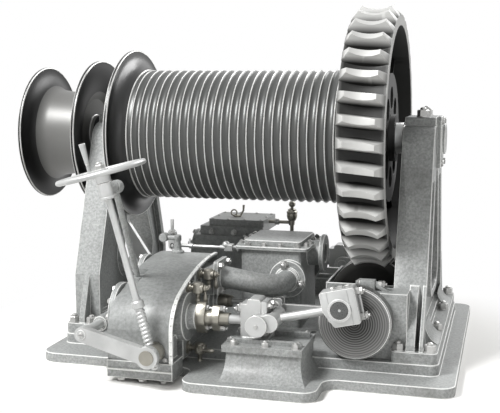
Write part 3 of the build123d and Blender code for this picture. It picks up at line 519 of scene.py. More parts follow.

# Finish of the surfaces and of the edges, by material slot; the near-white edges of castings and sheet are
# a painted highlight with rubbed enamel
FINISHES = {
    "painted_casting": (CASTING, EDGE_HIGHLIGHT_AND_WEAR),
    "lagging_sheet": (SHEET_PAINT, EDGE_HIGHLIGHT_AND_WEAR),
    "drum_iron": (DRUM_IRON_WITH_CREST_HIGHLIGHT, DRUM_IRON_WITH_CREST_HIGHLIGHT),
    "black_iron": (JAPAN, RUBBED_RIM),
    "gear_iron": (WHEEL_IRON_WITH_ROOT_SHADE, WHEEL_IRON_WITH_ROOT_SHADE),
    "bright_steel": (STEEL, STEEL_EDGE),
    "brass": (GUNMETAL, GUNMETAL),
    "friction_lining": (WOOD, WOOD),
}
# Nodes with surfaces of their own
OWN_FINISHES = {"worm": WORM_IRON_DARKENED_AS_SHADE, "crank_discs": FACED_STEEL, "warping_head": WORN_JAPAN}
# Width of the softened edges in millimetres, wider where the rope rubs the rims
EDGE_WIDTHS = {"black_iron": 5.0, "painted_casting": 3.5}
FINE_EDGE = 2.2
FINE_EDGED = {"left_standard", "right_standard"}
# Slots that are softened over the full width, apart from the nodes with edges too short for it
FULL_EDGED = {"painted_casting", "bright_steel"}
SHORT_EDGED = {"front_guide", "rear_guide", "clutch_lever", "control_lever", "spindle_bracket"}


def dress_cad():
    """Gives every CAD node its finish and softened edges, rubbed where they stand out, and lightened on
    castings and sheet as a painted highlight.
    """
    for part in frame["record"]["subparts"]:
        name, slot = part["node"], part["material_slot"]
        node = frame["nodes"][name]
        # Castings and sheet take a near-white edge finish as a painted highlight; black iron takes rubbed
        # iron
        body, rubbed = FINISHES[slot]
        node.data.materials.clear()
        node.data.materials.append(OWN_FINISHES.get(name, body))
        node.data.materials.append(rubbed)
        weld = node.modifiers.new("weld", "WELD")
        weld.merge_threshold = NODE_WELD * MM
        edge = node.modifiers.new("edge", "BEVEL")
        width = FINE_EDGE if name in FINE_EDGED else EDGE_WIDTHS.get(slot, FINE_EDGE)
        edge.width = width * MM
        edge.segments = 2
        edge.limit_method = "ANGLE"
        edge.angle_limit = math.radians(SHARP_ANGLE)
        edge.loop_slide = False
        edge.use_clamp_overlap = name in SHORT_EDGED or slot not in FULL_EDGED
        edge.material = 1


# Making pieces


def new_piece(name, shape, body, finish):
    """Makes a piece from a mesh drawn in millimetres, smooth where it is round, riding on its body."""
    bmesh.ops.remove_doubles(shape, verts=shape.verts, dist=PIECE_WELD)
    bmesh.ops.recalc_face_normals(shape, faces=shape.faces)
    bmesh.ops.scale(shape, vec=(MM, MM, MM), verts=shape.verts)
    mesh = bpy.data.meshes.new(name)
    shape.to_mesh(mesh)
    shape.free()
    mesh.shade_smooth()
    mesh.set_sharp_from_angle(angle=math.radians(SHARP_ANGLE))
    mesh.materials.append(finish)
    piece = bpy.data.objects.new(name, mesh)
    bpy.context.scene.collection.objects.link(piece)
    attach(piece, body)
    return piece


def stand(place, way, size=1.0, spin=0.0):
    """Matrix that stands an upright shape on a place, pointing along a way."""
    turn = Vector(way).to_track_quat("Z", "Y").to_matrix().to_4x4()
    spun_by = Matrix.Rotation(math.radians(spin), 4, "Z")
    return Matrix.Translation(place) @ turn @ spun_by @ Matrix.Scale(size, 4)


def join(shape, part, matrix=Matrix.Identity(4)):
    """Adds a part to a shape where the matrix says, and frees it."""
    bmesh.ops.transform(part, matrix=matrix, verts=part.verts)
    mesh = bpy.data.meshes.new("joined")
    part.to_mesh(mesh)
    part.free()
    shape.from_mesh(mesh)
    bpy.data.meshes.remove(mesh)


def bar(shape, start, end, radius, segments=20, tip=None):
    """Adds a round bar between two points, tapered to a tip radius where one is given."""
    way = Vector(end) - Vector(start)
    bmesh.ops.create_cone(
        shape,
        cap_ends=True,
        segments=segments,
        radius1=radius,
        radius2=radius if tip is None else tip,
        depth=way.length,
        matrix=stand((Vector(start) + Vector(end)) / 2, way),
    )


def block(shape, x, y, z, bevel, matrix=Matrix.Identity(4)):
    """Adds a box between three pairs of limits with softened edges."""
    part = bmesh.new()
    size = Matrix.Diagonal((abs(x[1] - x[0]), abs(y[1] - y[0]), abs(z[1] - z[0]), 1))
    middle = Matrix.Translation(((x[0] + x[1]) / 2, (y[0] + y[1]) / 2, (z[0] + z[1]) / 2))
    bmesh.ops.create_cube(part, size=1.0, matrix=middle @ size)
    bmesh.ops.bevel(
        part, geom=part.edges[:], offset=bevel, segments=2, profile=0.5, affect="EDGES", material=-1
    )
    join(shape, part, matrix)


def spin_round(part, section, steps):
    """Spins a section once round the upright axis and closes it."""
    bmesh.ops.spin(
        part,
        geom=section,
        cent=(0, 0, 0),
        axis=UP,
        angle=2 * math.pi,
        steps=steps,
        use_merge=True,
    )


def turned(shape, outline, matrix=Matrix.Identity(4), steps=24):
    """Adds a turned body from an outline of radius and height, standing where the matrix says."""
    part = bmesh.new()
    points = [part.verts.new((radius, 0, height)) for radius, height in outline]
    edges = [part.edges.new(pair) for pair in zip(points, points[1:])]
    spin_round(part, points + edges, steps)
    bmesh.ops.remove_doubles(part, verts=part.verts, dist=TURNED_WELD)
    join(shape, part, matrix)


def hexagon(shape, low, high, width, chamfer, matrix=Matrix.Identity(4)):
    """Adds an upright hexagon prism with its top corners taken off."""
    part = bmesh.new()
    bmesh.ops.create_cone(
        part,
        cap_ends=True,
        segments=6,
        radius1=width / math.sqrt(3),
        radius2=width / math.sqrt(3),
        depth=high - low,
        matrix=Matrix.Translation((0, 0, (low + high) / 2)),
    )
    top = [edge for edge in part.edges if min(point.co.z for point in edge.verts) > high - 0.001]
    bmesh.ops.bevel(part, geom=top, offset=chamfer, segments=1, profile=0.5, affect="EDGES", material=-1)
    join(shape, part, matrix)


def pattern(name, make):
    """Mesh of a fastener one unit wide, kept for copying."""
    shape = bmesh.new()
    make(shape)
    bmesh.ops.recalc_face_normals(shape, faces=shape.faces)
    mesh = bpy.data.meshes.new(name)
    shape.to_mesh(mesh)
    shape.free()
    return mesh


def washer(shape, thick):
    """Adds a washer for a nut or head one unit wide."""
    bmesh.ops.create_cone(
        shape,
        cap_ends=True,
        segments=16,
        radius1=0.64,
        radius2=0.62,
        depth=thick,
        matrix=Matrix.Translation((0, 0, thick / 2)),
    )


def draw_nut(shape):
    """Nut on a washer with the domed end of its stud."""
    washer(shape, 0.09)
    hexagon(shape, 0.09, 0.68, 1.0, 0.07)
    turned(shape, [(0, 0.6), (0.3, 0.6), (0.3, 0.82), (0.2, 0.91), (0, 0.94)], steps=12)


def draw_double_nut(shape):
    """Nut and thin lock nut on a stud."""
    hexagon(shape, 0, 0.62, 1.0, 0.07)
    hexagon(shape, 0.66, 1.02, 1.0, 0.07, Matrix.Rotation(math.radians(19), 4, "Z"))
    bar(shape, (0, 0, 0.55), (0, 0, 1.3), 0.3, 12, 0.25)


def draw_head(shape):
    """Low bolt head on a thin washer."""
    washer(shape, 0.07)
    hexagon(shape, 0.07, 0.42, 1.0, 0.09)


def draw_screw(shape):
    """Cheese-head screw, its slot left between two half heads."""
    for sign in (-1, 1):
        part = bmesh.new()
        turned(part, [(0, 0), (0.5, 0), (0.5, 0.2), (0.42, 0.3), (0, 0.32)], steps=16)
        cut = bmesh.ops.bisect_plane(
            part,
            geom=part.verts[:] + part.edges[:] + part.faces[:],
            plane_co=(0, sign * 0.06, 0),
            plane_no=(0, -sign, 0),
            clear_outer=True,
        )["geom_cut"]
        edges = [item for item in cut if isinstance(item, bmesh.types.BMEdge)]
        bmesh.ops.contextual_create(part, geom=edges)
        join(shape, part)
    turned(shape, [(0, 0), (0.44, 0), (0.44, 0.12), (0, 0.12)], steps=12)


def draw_rivet(shape):
    """Snap-head rivet."""
    turned(shape, [(0, 0), (0.5, 0), (0.45, 0.2), (0.27, 0.35), (0, 0.4)], steps=10)


PATTERNS = {
    "nut": pattern("nut_pattern", draw_nut),
    "double": pattern("double_nut_pattern", draw_double_nut),
    "head": pattern("head_pattern", draw_head),
    "screw": pattern("screw_pattern", draw_screw),
    "rivet": pattern("rivet_pattern", draw_rivet),
}


def fasten(name, body, places):
    """One piece of all the fasteners of a place, each given as kind, foot, way and width across."""
    shape = bmesh.new()
    for number, (kind, place, way, width) in enumerate(places):
        part = bmesh.new()
        part.from_mesh(PATTERNS[kind])
        join(shape, part, stand(place, way, width, FASTENER_TURN * number))
    new_piece(name, shape, body, NUT_STEEL)


def around(centre, way, radius, angles):
    """Points on a circle square to a way along X or Y, by angle from level."""
    x, y, z = centre
    points = []
    for angle in angles:
        level = radius * math.cos(math.radians(angle))
        rise = radius * math.sin(math.radians(angle))
        points.append((x, y + level, z + rise) if way[0] else (x + level, y, z + rise))
    return points


# Bed, standards and hoods


def standard_nuts():
    """Nuts of the caps and feet, bolts of the end cover and nuts of the lever shaft bearings."""
    places = []
    for y in (-CAP_STUD_Y, CAP_STUD_Y):
        places += [("nut", (x, y, CAP_TOP), UP, 48) for x in BEARINGS_X]
    for y in (-LEFT_FOOT_Y, LEFT_FOOT_Y):
        places += [("nut", (x, y, FOOT_TOP), UP, 42) for x in LEFT_FOOT_X]
    for y in (-RIGHT_FOOT_Y, RIGHT_FOOT_Y):
        places += [("nut", (x, y, FOOT_TOP), UP, 44) for x in RIGHT_FOOT_X]
    for y in (-SILL_NUT_Y, SILL_NUT_Y):
        places.append(("nut", (RIGHT_FOOT_X[1], y, FOOT_TOP), UP, 44))
        places.append(("nut", (LEFT_FOOT_X[0], y, FOOT_TOP), UP, 42))
    cover_x, cover_z = END_COVER
    half_wide, half_high = END_COVER_HALF
    for y in (-half_wide, half_wide):
        places += [("head", (cover_x, y, cover_z + rise), RIGHT, 26) for rise in (-half_high, half_high)]
    nut_x, nut_z = LEVER_BEARING_NUT
    places += [("nut", (nut_x, y, nut_z), UP, 24) for y in LEVER_BEARINGS_Y]
    fasten("standard_nuts", "frame", places)


def arc_centre(first, second, third):
    """Centre of the circle through three points of Y and Z."""
    (ax, ay), (bx, by), (cx, cy) = first, second, third
    scale = 2 * (ax * (by - cy) + bx * (cy - ay) + cx * (ay - by))
    a, b, c = ax * ax + ay * ay, bx * bx + by * by, cx * cx + cy * cy
    y = (a * (by - cy) + b * (cy - ay) + c * (ay - by)) / scale
    z = (a * (cx - bx) + b * (ax - cx) + c * (bx - ax)) / scale
    return y, z


def hood_rim(side, sign):
    """Flat beading along the mouth of a hood, with the rivets that hold it."""
    rim_x = HOOD_MOUTH - RIM_WIDTH / 2
    shape = bmesh.new()
    bmesh.ops.create_grid(shape, x_segments=1, y_segments=1, size=0.5)
    corner = Matrix.Translation((rim_x, -HOOD_SIDE - 2, HOOD_FOOT))
    corner = corner @ Matrix.Diagonal((RIM_WIDTH, RIM_THICK, 1, 1))
    bmesh.ops.transform(shape, matrix=corner, verts=shape.verts)
    section = shape.faces[:]
    grown = bmesh.ops.extrude_face_region(shape, geom=section)["geom"]
    points = [part for part in grown if isinstance(part, bmesh.types.BMVert)]
    bmesh.ops.translate(shape, vec=(0, 0, HOOD_SPRING - HOOD_FOOT), verts=points)
    section = [part for part in grown if isinstance(part, bmesh.types.BMFace)]
    side_y = sign * (HOOD_SIDE + RIVET_OUT)
    rivets = [("rivet", (rim_x, side_y, z), (0, sign, 0), RIVET) for z in (130, 190)]
    for first, second, third in HOOD_ARCS:
        y, z = arc_centre(first, second, third)
        start = math.atan2(first[1] - z, first[0] - y)
        sweep = math.atan2(third[1] - z, third[0] - y) - start
        spun = bmesh.ops.spin(shape, geom=section, cent=(0, y, z), axis=RIGHT, angle=sweep, steps=14)
        section = [part for part in spun["geom_last"] if isinstance(part, bmesh.types.BMFace)]
        radius = math.hypot(first[0] - y, first[1] - z) + RIVET_OUT
        for step in range(1, 6):
            angle = start + sweep * step / 6
            level, rise = math.cos(angle), math.sin(angle)
            point = (rim_x, -sign * (y + radius * level), z + radius * rise)
            rivets.append(("rivet", point, (0, -sign * level, rise), RIVET))
    inside = [face for face in shape.faces if all(len(edge.link_faces) > 2 for edge in face.edges)]
    bmesh.ops.delete(shape, geom=inside, context="FACES_ONLY")
    if sign > 0:
        bmesh.ops.scale(shape, vec=(1, -1, 1), verts=shape.verts)
    # The beading takes the near-white edge finish: a painted highlight along the hood's mouth
    new_piece(f"{side}_hood_rim", shape, "frame", EDGE_HIGHLIGHT_AND_WEAR)
    fasten(f"{side}_hood_rivets", "frame", rivets)


def hood_fasteners(side, sign):
    """Bolts under the bed's bulge, screws and cover bolts of a hood, and the strip at its foot."""
    outward = (0, sign, 0)
    out, bottom = BULGE_BOTTOM
    places = [("head", (x, sign * out, bottom), DOWN, 32) for x in BULGE_BOLTS_X]
    places.append(("screw", (-247, sign * 885, 112), outward, 20))
    places.append(("screw", (-478, sign * HOOD_SIDE, 150), outward, 16))
    cover = (HEAD_FACE, sign * VALVE_COVER[0], VALVE_COVER[1])
    cover_bolts = around(cover, LEFT, VALVE_COVER_BOLTS, range(30, 390, 60))
    places += [("nut", point, LEFT, 26) for point in cover_bolts]
    head = (HEAD_FACE, sign * ENGINE_Y, ENGINE_Z)
    head_bolts = around(head, LEFT, HEAD_BOLTS, range(0, 360, 36))
    places += [("head", point, LEFT, 26) for point in head_bolts]
    fasten(f"{side}_hood_bolts", "frame", places)
    strip = bmesh.new()
    block(strip, (STRIP_START, HOOD_MOUTH), [sign * out for out in STRIP_Y], STRIP_Z, 2)
    # The strip takes the near-white edge finish as a painted highlight
    new_piece(f"{side}_foot_strip", strip, "frame", EDGE_HIGHLIGHT_AND_WEAR)


# Engines


def engine_fasteners(side, sign):
    """Gland studs, pedestal and keeper bolts, and the ring nut of the valve gland."""
    y = sign * ENGINE_Y
    places = []
    studs = bmesh.new()
    for z in (ENGINE_Z - GLAND_STUD_RISE, ENGINE_Z + GLAND_STUD_RISE):
        bar(studs, (GLAND_ROOT, y, z), (GLAND_STUD_END, y, z), 6)
        places.append(("head", (GLAND_ROOT, y, z), RIGHT, 24))
        places.append(("double", (GLAND_FACE, y, z), RIGHT, 23))
    new_piece(f"{side}_gland_studs", studs, "frame", STEEL)
    for out, along, width in GUIDE_BOLTS:
        places += [("nut", (x, sign * out, GUIDE_TOP), UP, width) for x in along]
    for x in KEEPER_BOLTS_X:
        places += [("head", (x, sign * out, KEEPER_TOP), UP, 10) for out in KEEPER_BOLTS_Y]
    fasten(f"{side}_engine_nuts", "frame", places)
    ring = bmesh.new()
    outline = [(14, 0), (28, 0), (28, 16), (24, 20), (14, 20), (14, 0)]
    turned(ring, outline, stand((GLAND_ROOT, sign * VALVE_Y, ENGINE_Z), RIGHT), 12)
    new_piece(f"{side}_valve_gland_nut", ring, "frame", GUNMETAL)


def crank_geometry(side):
    """Gudgeon place along X and tilt of the connecting rod at rest."""
    crank = math.radians(CRANKS[side])
    rise = THROW * math.sin(crank)
    gudgeon = WHEEL_X + THROW * math.cos(crank) - math.sqrt(ROD * ROD - rise * rise)
    return gudgeon, math.asin(rise / ROD)


def rod_frame(side, sign):
    """Matrix from along, outward and up on the connecting rod to the winch."""
    gudgeon, tilt = crank_geometry(side)
    turn = Matrix.Rotation(-tilt, 4, "Y")
    flip = Matrix.Diagonal((1, sign, 1, 1))
    return Matrix.Translation((gudgeon, sign * ENGINE_Y, ENGINE_Z)) @ turn @ flip


def rod_details(side, sign):
    """Big end bolts with their lock bar, side faces and the end of the crank pin."""
    place = rod_frame(side, sign)
    body = f"{side}_rod_body"
    turn = place.to_3x3()
    along, _, upward = turn.col

    def on_rod(from_eye, rise):
        return place @ Vector((ROD + from_eye, 0, rise))

    places = [("double", on_rod(BIG_END_FACE, rise), along, 28) for rise in (58, -46)]
    places.append(("head", on_rod(-52, -42), -along - upward, 24))
    places += [("head", on_rod(from_eye, BIG_END_TOP), upward, 22) for from_eye in (-18, 14, 44)]
    fasten(f"{side}_big_end_nuts", body, places)
    link = bmesh.new()
    bar(link, on_rod(BIG_END_FACE + 10, 44), on_rod(BIG_END_FACE + 10, -34), 5)
    new_piece(f"{side}_big_end_lock", link, body, STEEL)
    faces = bmesh.new()
    for start, end, low in ((-58, -40, -20), (-37, 45, -66), (48, 73, -66)):
        block(faces, (ROD + start, ROD + end), BIG_END_SIDE, (low, 80), 1)
    bmesh.ops.transform(faces, matrix=place, verts=faces.verts)
    new_piece(f"{side}_big_end_faces", faces, body, STEEL)
    pin = bmesh.new()
    outline = [(6, 44), (37, 44), (37, 46), (34, 48), (10, 48), (6, 46), (6, 44)]
    turned(pin, outline, place @ stand((ROD, 0, 0), AFT), 40)
    new_piece(f"{side}_pin_end", pin, body, PIN_STEEL)


def crosshead_details(side, sign):
    """Cap plate of the crosshead bearing and the bolts through it."""
    gudgeon, _ = crank_geometry(side)
    cap_x = [gudgeon + along for along in CROSSHEAD_CAP_X]
    high_bolt, low_bolt = CAP_BOLTS_Z
    y = sign * ENGINE_Y
    body = f"{side}_crosshead_body"
    plate = bmesh.new()
    block(plate, cap_x, (y - CROSSHEAD_CAP_HALF, y + CROSSHEAD_CAP_HALF), CROSSHEAD_CAP_Z, 3)
    new_piece(f"{side}_crosshead_cap", plate, body, STEEL)
    places = []
    for out in (-CROSSHEAD_BOLT, CROSSHEAD_BOLT):
        places.append(("double", (gudgeon + CROSSHEAD_BACK, y + out, BACK_BOLT_Z), LEFT, 24))
        places.append(("nut", (cap_x[1], y + out, high_bolt), RIGHT, 24))
        places.append(("head", (cap_x[1], y + out, low_bolt), RIGHT, 18))
    places.append(("screw", (gudgeon, y + sign * GUDGEON_HALF, ENGINE_Z), (0, sign, 0), 18))
    fasten(f"{side}_crosshead_nuts", body, places)


def valve_gear_nuts(side, sign):
    """Nuts of the valve rod's fork and of the eccentric strap, at the places of rest."""
    angle = math.radians(CRANKS[side] + ECCENTRIC_LEAD)
    shift = ECCENTRIC * math.cos(angle)
    y = sign * VALVE_Y
    sheave_x, sheave_z = WHEEL_X + shift, ENGINE_Z + ECCENTRIC * math.sin(angle)
    fork = []
    for out in (-FORK_HALF, FORK_HALF):
        fork.append(("nut", (VALVE_PIN_X + shift, y + out, ENGINE_Z), (0, out, 0), 22))
    fasten(f"{side}_valve_fork_nuts", f"{side}_valve_body", fork)
    strap = [("nut", (sheave_x, y, sheave_z + STRAP_TOP), UP, 22)]
    for rise in (-STRAP_BOLT, STRAP_BOLT):
        strap.append(("nut", (sheave_x - STRAP_BACK, y, sheave_z + rise), LEFT, 20))
    fasten(f"{side}_strap_nuts", f"{side}_eccentric_body", strap)


# Control chest, pipes and their fittings


def chest_nuts():
    """Nuts round the flange of the control chest and on both flanges of each steam pipe."""
    places = []
    for y in (-FLANGE_NUT_Y, FLANGE_NUT_Y):
        places += [("nut", (x, y, FLANGE_TOP), UP, FLANGE_NUT) for x in (-88, -8, 72, 152)]
    for y in (-128, -44, 44, 128):
        places += [("nut", (x, y, FLANGE_TOP), UP, FLANGE_NUT) for x in FLANGE_NUTS_X]
    for _, sign in SIDES:
        x, y, z = OUTLET
        outward = (0, sign, 0)
        outlet_bolts = around((x, sign * y, z), outward, OUTLET_BOLTS, (102, -15, 222))
        places += [("nut", point, outward, 34) for point in outlet_bolts]
        for out in (-SQUARE_BOLT, SQUARE_BOLT):
            for rise in (-SQUARE_BOLT, SQUARE_BOLT):
                point = (SQUARE_FLANGE, sign * (PIPE_Y + out), PIPE_Z + rise)
                places.append(("nut", point, RIGHT, 27))
    fasten("chest_and_pipe_nuts", "frame", places)


def rear_cover_fittings():
    """Screws of the rear cover, its test cock and the pipe to the oil cup."""
    top = REAR_COVER_TOP
    places = [("screw", (x, y, top), UP, 14) for x in (-408, -146) for y in (292, 408, 524)]
    places += [("screw", (x, y, top), UP, 14) for x in (-320, -232) for y in (284, 534)]
    places += [("nut", (x, 262, 464), FORE, 26) for x in (-404, -283)]
    places.append(("nut", (-94, PIPE_Y, OIL_PIPE_Z), RIGHT, 30))
    fasten("rear_cover_screws", "frame", places)
    shape = bmesh.new()
    foot = [(0, top - 2), (22, top - 2), (22, top + 6), (14, top + 10), (0, top + 10)]
    turned(shape, foot, Matrix.Translation(TEST_COCK))
    ring = bmesh.new()
    section = Matrix.Translation((15, 0, 0)) @ Matrix.Rotation(math.pi / 2, 4, "X")
    bmesh.ops.create_circle(ring, segments=10, radius=4, matrix=section)
    spin_round(ring, ring.verts[:] + ring.edges[:], 20)
    join(shape, ring, stand((-318, 384, 552), (0.3, -1, 0)))
    bar(shape, (-284, 398, 538), (-272, 404, 562), 5, 12)
    bar(shape, (-272, 404, 558), (-270, 404, 592), 5, 12, 6.5)
    new_piece("rear_cover_cock", shape, "frame", GUNMETAL)
    pipe = bmesh.new()
    start, end = [(x, PIPE_Y, OIL_PIPE_Z) for x in OIL_PIPE_X]
    bar(pipe, start, end, 9)
    union = [(0, -14), (15, -14), (17, 0), (15, 14), (0, 14)]
    turned(pipe, union, Matrix.Translation((-6, PIPE_Y, OIL_PIPE_Z)))
    new_piece("oil_pipe", pipe, "frame", GUNMETAL)


def worm_bearing_lugs():
    """Clamp lug and its bolt on the top of each worm shaft housing."""
    lugs = bmesh.new()
    places = []
    for _, sign in SIDES:
        y = sign * LUG_Y
        block(lugs, LUG_X, (y - LUG_HALF, y + LUG_HALF), LUG_Z, 4)
        slope = Matrix.Translation(LIP_ROOT) @ Matrix.Rotation(math.radians(LIP_SLOPE), 4, "Y")
        block(lugs, (0, LIP_LONG), (y - LIP_HALF, y + LIP_HALF), (-LIP_THICK, 0), 3, slope)
        start, end = [(x, y, LUG_BOLT_Z) for x in LUG_BOLT_X]
        bar(lugs, start, end, 12)
        places.append(("head", (LUG_X[0], y, LUG_BOLT_Z), LEFT, 30))
        places.append(("double", (LUG_X[1] + 12, y, LUG_BOLT_Z), RIGHT, 28))
    new_piece("worm_bearing_lugs", lugs, "frame", CASTING)
    fasten("worm_bearing_nuts", "frame", places)


def control_post():
    """Slender post on the hood with a round boss for the control lever's pin, for its plain solid."""
    x, z = CONTROL
    shape = bmesh.new()
    foot = [(0, 434), (30, 434), (30, POST_FOOT_TOP), (18, 464)]
    head = [(13, 500), (17, 508), (17, 528), (12, 533), (0, 533)]
    turned(shape, foot + head, Matrix.Translation((POST_X, POST_Y, 0)))
    bar(shape, (POST_X, POST_Y, z), (x, POST_Y, z), 13, 20, 11)
    boss = [(0, -22), (18, -22), (21, -18), (21, 18), (18, 22), (0, 22)]
    turned(shape, boss, stand((x, POST_Y, z), AFT))
    bar(shape, (x, POST_Y + 16, z), (x, POST_PIN_END, z), 9)
    post = new_piece("control_post", shape, "frame", CASTING)
    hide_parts("control_bracket")
    places = [("head", (POST_X + out, POST_Y, POST_FOOT_TOP), UP, 12) for out in (-23, 23)]
    fasten("control_post_bolts", "frame", places)


def control_rod_joints():
    """Ball joint, sleeves and nuts at the ends of the control rod, and the nut of its lever."""
    x, z = CONTROL
    shape = bmesh.new()
    ball = Matrix.Translation(CONTROL_BALL)
    bmesh.ops.create_uvsphere(shape, u_segments=20, v_segments=12, radius=19, matrix=ball)
    for start, end, radius, tip in ((-234, -206, 11, 14), (-390, -372, 13, 13)):
        first, last = [(along, CONTROL_ROD_Y, CONTROL_ROD_Z) for along in (start, end)]
        bar(shape, first, last, radius, 16, tip)
    new_piece("control_rod_joint", shape, "control_rod_body", STEEL)
    places = [
        ("head", (-194, -128, CONTROL_ROD_Z), RIGHT, 26),
        ("nut", (x, -132, CONTROL_ROD_Z), AFT, 20),
    ]
    fasten("control_rod_nuts", "control_rod_body", places)
    fasten("control_lever_nut", "control_lever_body", [("nut", (x, POST_PIN_END + 1, z), FORE, 24)])


# Drain cocks


def cock_handle(shape, matrix):
    """Pear-shaped handle hanging from a round hub with its nut."""
    pear = [(0, -68), (6, -66), (10.5, -58), (11, -48), (8, -34), (5, -20), (5, 0), (0, 0)]
    turned(shape, pear, matrix, 16)
    facing = matrix @ stand((0, 0, 0), RIGHT)
    turned(shape, [(0, -5), (14, -5), (16, 0), (14, 5), (0, 5)], facing, 20)
    hexagon(shape, 4, 14, 19, 1.5, facing)
    turned(shape, [(0, 12), (5, 12), (5, 17), (4, 19), (0, 19)], facing, 12)


def drain_cock(side, sign, name):
    """Handle of a cock in place of its plain solid, and the flange, union and spout of the cock."""
    out, z = COCKS[name]
    y = sign * out
    if name == "lower":
        hang = Matrix.Translation((LOW_HANDLE_X, y + sign * 28, z))
        quarter = Matrix.Rotation(math.radians(-90), 4, "Y")
        facing = Matrix.Rotation(math.radians(90 * sign), 4, "Z")
        hang = hang @ quarter @ facing
    else:
        tilt = Matrix.Rotation(math.radians(-sign * 6), 4, "X")
        hang = Matrix.Translation((COCK_HANDLE_X, y, z)) @ tilt
    shape = bmesh.new()
    cock_handle(shape, hang)
    handle = new_piece(f"{side}_{name}_cock_handle", shape, f"{side}_{name}_cock_body", GUNMETAL)
    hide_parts(f"{side}_{name}_cock")
    fittings = bmesh.new()
    root = LOW_COCK_ROOT if name == "lower" else COCK_ROOT
    flange = [(0, 0), (28, 0), (28, 7), (18, 10), (18, 16), (0, 16)]
    turned(fittings, flange, stand((root, y, z), RIGHT))
    spout = [(0, -66), (8, -66), (12, -62), (12, -52), (9, -44), (9, -30), (0, -30)]
    upright = Matrix.Translation((COCK_BARREL_X, y, z))
    turned(fittings, spout, upright, 16)
    barrel = [(0, -25), (15, -25), (22, -20), (23, 0), (22, 20), (15, 25), (0, 25)]
    turned(fittings, barrel, upright, 20)
    new_piece(f"{side}_{name}_cock_fittings", fittings, "frame", GUNMETAL)
    places = [("head", (root + 7, y, z + rise), RIGHT, 13) for rise in (-20, 20)]
    fasten(f"{side}_{name}_cock_nuts", "frame", places)


# Clutch gear


def spindle_frame(up=0.0):
    """Matrix from along the clutch spindle, counted from the nut, to the winch."""
    lean = math.radians(SPINDLE_LEAN)
    tip = math.radians(SPINDLE_TIP)
    way = Vector((-math.sin(lean) * math.cos(tip), -math.sin(tip), math.cos(lean) * math.cos(tip)))
    return stand(Vector(CLUTCH_NUT) + way * up, way)


def threaded_spindle():
    """Spindle with its collar and the coarse right-handed thread that works in the nut."""
    shape = bmesh.new()
    top = WHEEL_UP + 24
    screw = [(0, -64), (15, -64), (17.6, -60), (17.6, 190), (16, 194)]
    collar = [(16, 198), (22, 198), (26, 202), (26, 226), (22, 231), (16, 231)]
    stem = [(16, 238), (14, 242), (14, top - 2), (12, top), (0, top)]
    turned(shape, screw + collar + stem, Matrix.Identity(4), 28)
    ridge = [(16.6, -7.4), (20.6, -2.2), (20.6, 2.2), (16.6, 7.4)]
    corners = [shape.verts.new((radius, 0, THREAD_START + rise)) for radius, rise in ridge]
    steps = int(THREAD_TURNS * THREAD_STEPS)
    bmesh.ops.spin(
        shape,
        geom=[shape.faces.new(corners)],
        cent=(0, 0, 0),
        axis=UP,
        dvec=(0, 0, THREAD_PITCH * THREAD_TURNS / steps),
        angle=2 * math.pi * THREAD_TURNS,
        steps=steps,
    )
    bmesh.ops.transform(shape, matrix=spindle_frame(), verts=shape.verts)
    spindle = new_piece("threaded_spindle", shape, "handwheel_body", STEEL)
    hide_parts("clutch_spindle")


def clutch_fittings():
    """Nut on the handwheel, collar of the swivel and the screw in the end of the lever shaft."""
    wheel_nut = bmesh.new()
    hexagon(wheel_nut, 14, 32, 36, 3)
    turned(wheel_nut, [(0, 32), (14, 32), (14, 38), (10, 42), (0, 43)], Matrix.Identity(4), 16)
    bmesh.ops.transform(wheel_nut, matrix=spindle_frame(WHEEL_UP), verts=wheel_nut.verts)
    new_piece("handwheel_nut", wheel_nut, "handwheel_body", NUT_STEEL)
    collar = bmesh.new()
    outline = [(30, -40), (33, -38), (33, -30), (30, -28), (30, -40)]
    turned(collar, outline, spindle_frame(SWIVEL_UP))
    new_piece("swivel_collar", collar, "swivel_body", STEEL)
    places = [("screw", (LEVER_SHAFT[0], LEVER_SHAFT_END, LEVER_SHAFT[1]), FORE, 22)]
    fasten("lever_shaft_screw", "clutch_lever_body", places)


def shaft_ring_nut():
    """Ring nut that holds the warping head on the end of the shaft."""
    shape = bmesh.new()
    outline = [(46, 0), (70, 0), (70, 16), (66, 22), (46, 22), (46, 0)]
    turned(shape, outline, stand((SHAFT_END, 0, DRUM_Z), LEFT), 8)
    new_piece("shaft_ring_nut", shape, "wheel_train", NUT_STEEL)


# Stage, light and camera


def stage():
    """Floor and surroundings: soft grey light on the winch, plain white where they are seen."""
    mesh = bpy.data.meshes.new("floor")
    shape = bmesh.new()
    bmesh.ops.create_grid(shape, x_segments=1, y_segments=1, size=FLOOR_HALF)
    shape.to_mesh(mesh)
    shape.free()
    floor = bpy.data.objects.new("floor", mesh)
    bpy.context.scene.collection.objects.link(floor)
    floor.data.materials.append(white_floor())
    world = bpy.data.worlds.new("studio")
    bpy.context.scene.world = world
    world.use_nodes = True
    tree = world.node_tree
    sky = tree.nodes["Background"]
    sky.inputs["Color"].default_value = linear("f2f2f0")
    sky.inputs["Strength"].default_value = SKY_STRENGTH
    white = add(tree, "ShaderNodeBackground", {"Color": (1, 1, 1, 1), "Strength": 1.0})
    chosen = add(
        tree,
        "ShaderNodeMixShader",
        None,
        {0: seen_rays(tree), 1: sky.outputs["Background"], 2: white.outputs["Background"]},
    )
    tree.links.new(chosen.outputs["Shader"], tree.nodes["World Output"].inputs["Surface"])


def seen_rays(tree):
    """One for rays from the camera and for those that a mirror or glass sends on."""
    path = add(tree, "ShaderNodeLightPath")
    clear = add(
        tree,
        "ShaderNodeMath",
        None,
        {0: path.outputs["Is Glossy Ray"], 1: path.outputs["Is Transmission Ray"]},
        operation="MAXIMUM",
    )
    seen = add(
        tree,
        "ShaderNodeMath",
        None,
        {0: path.outputs["Is Camera Ray"], 1: clear.outputs["Value"]},
        operation="MAXIMUM",
    )
    return seen.outputs["Value"]


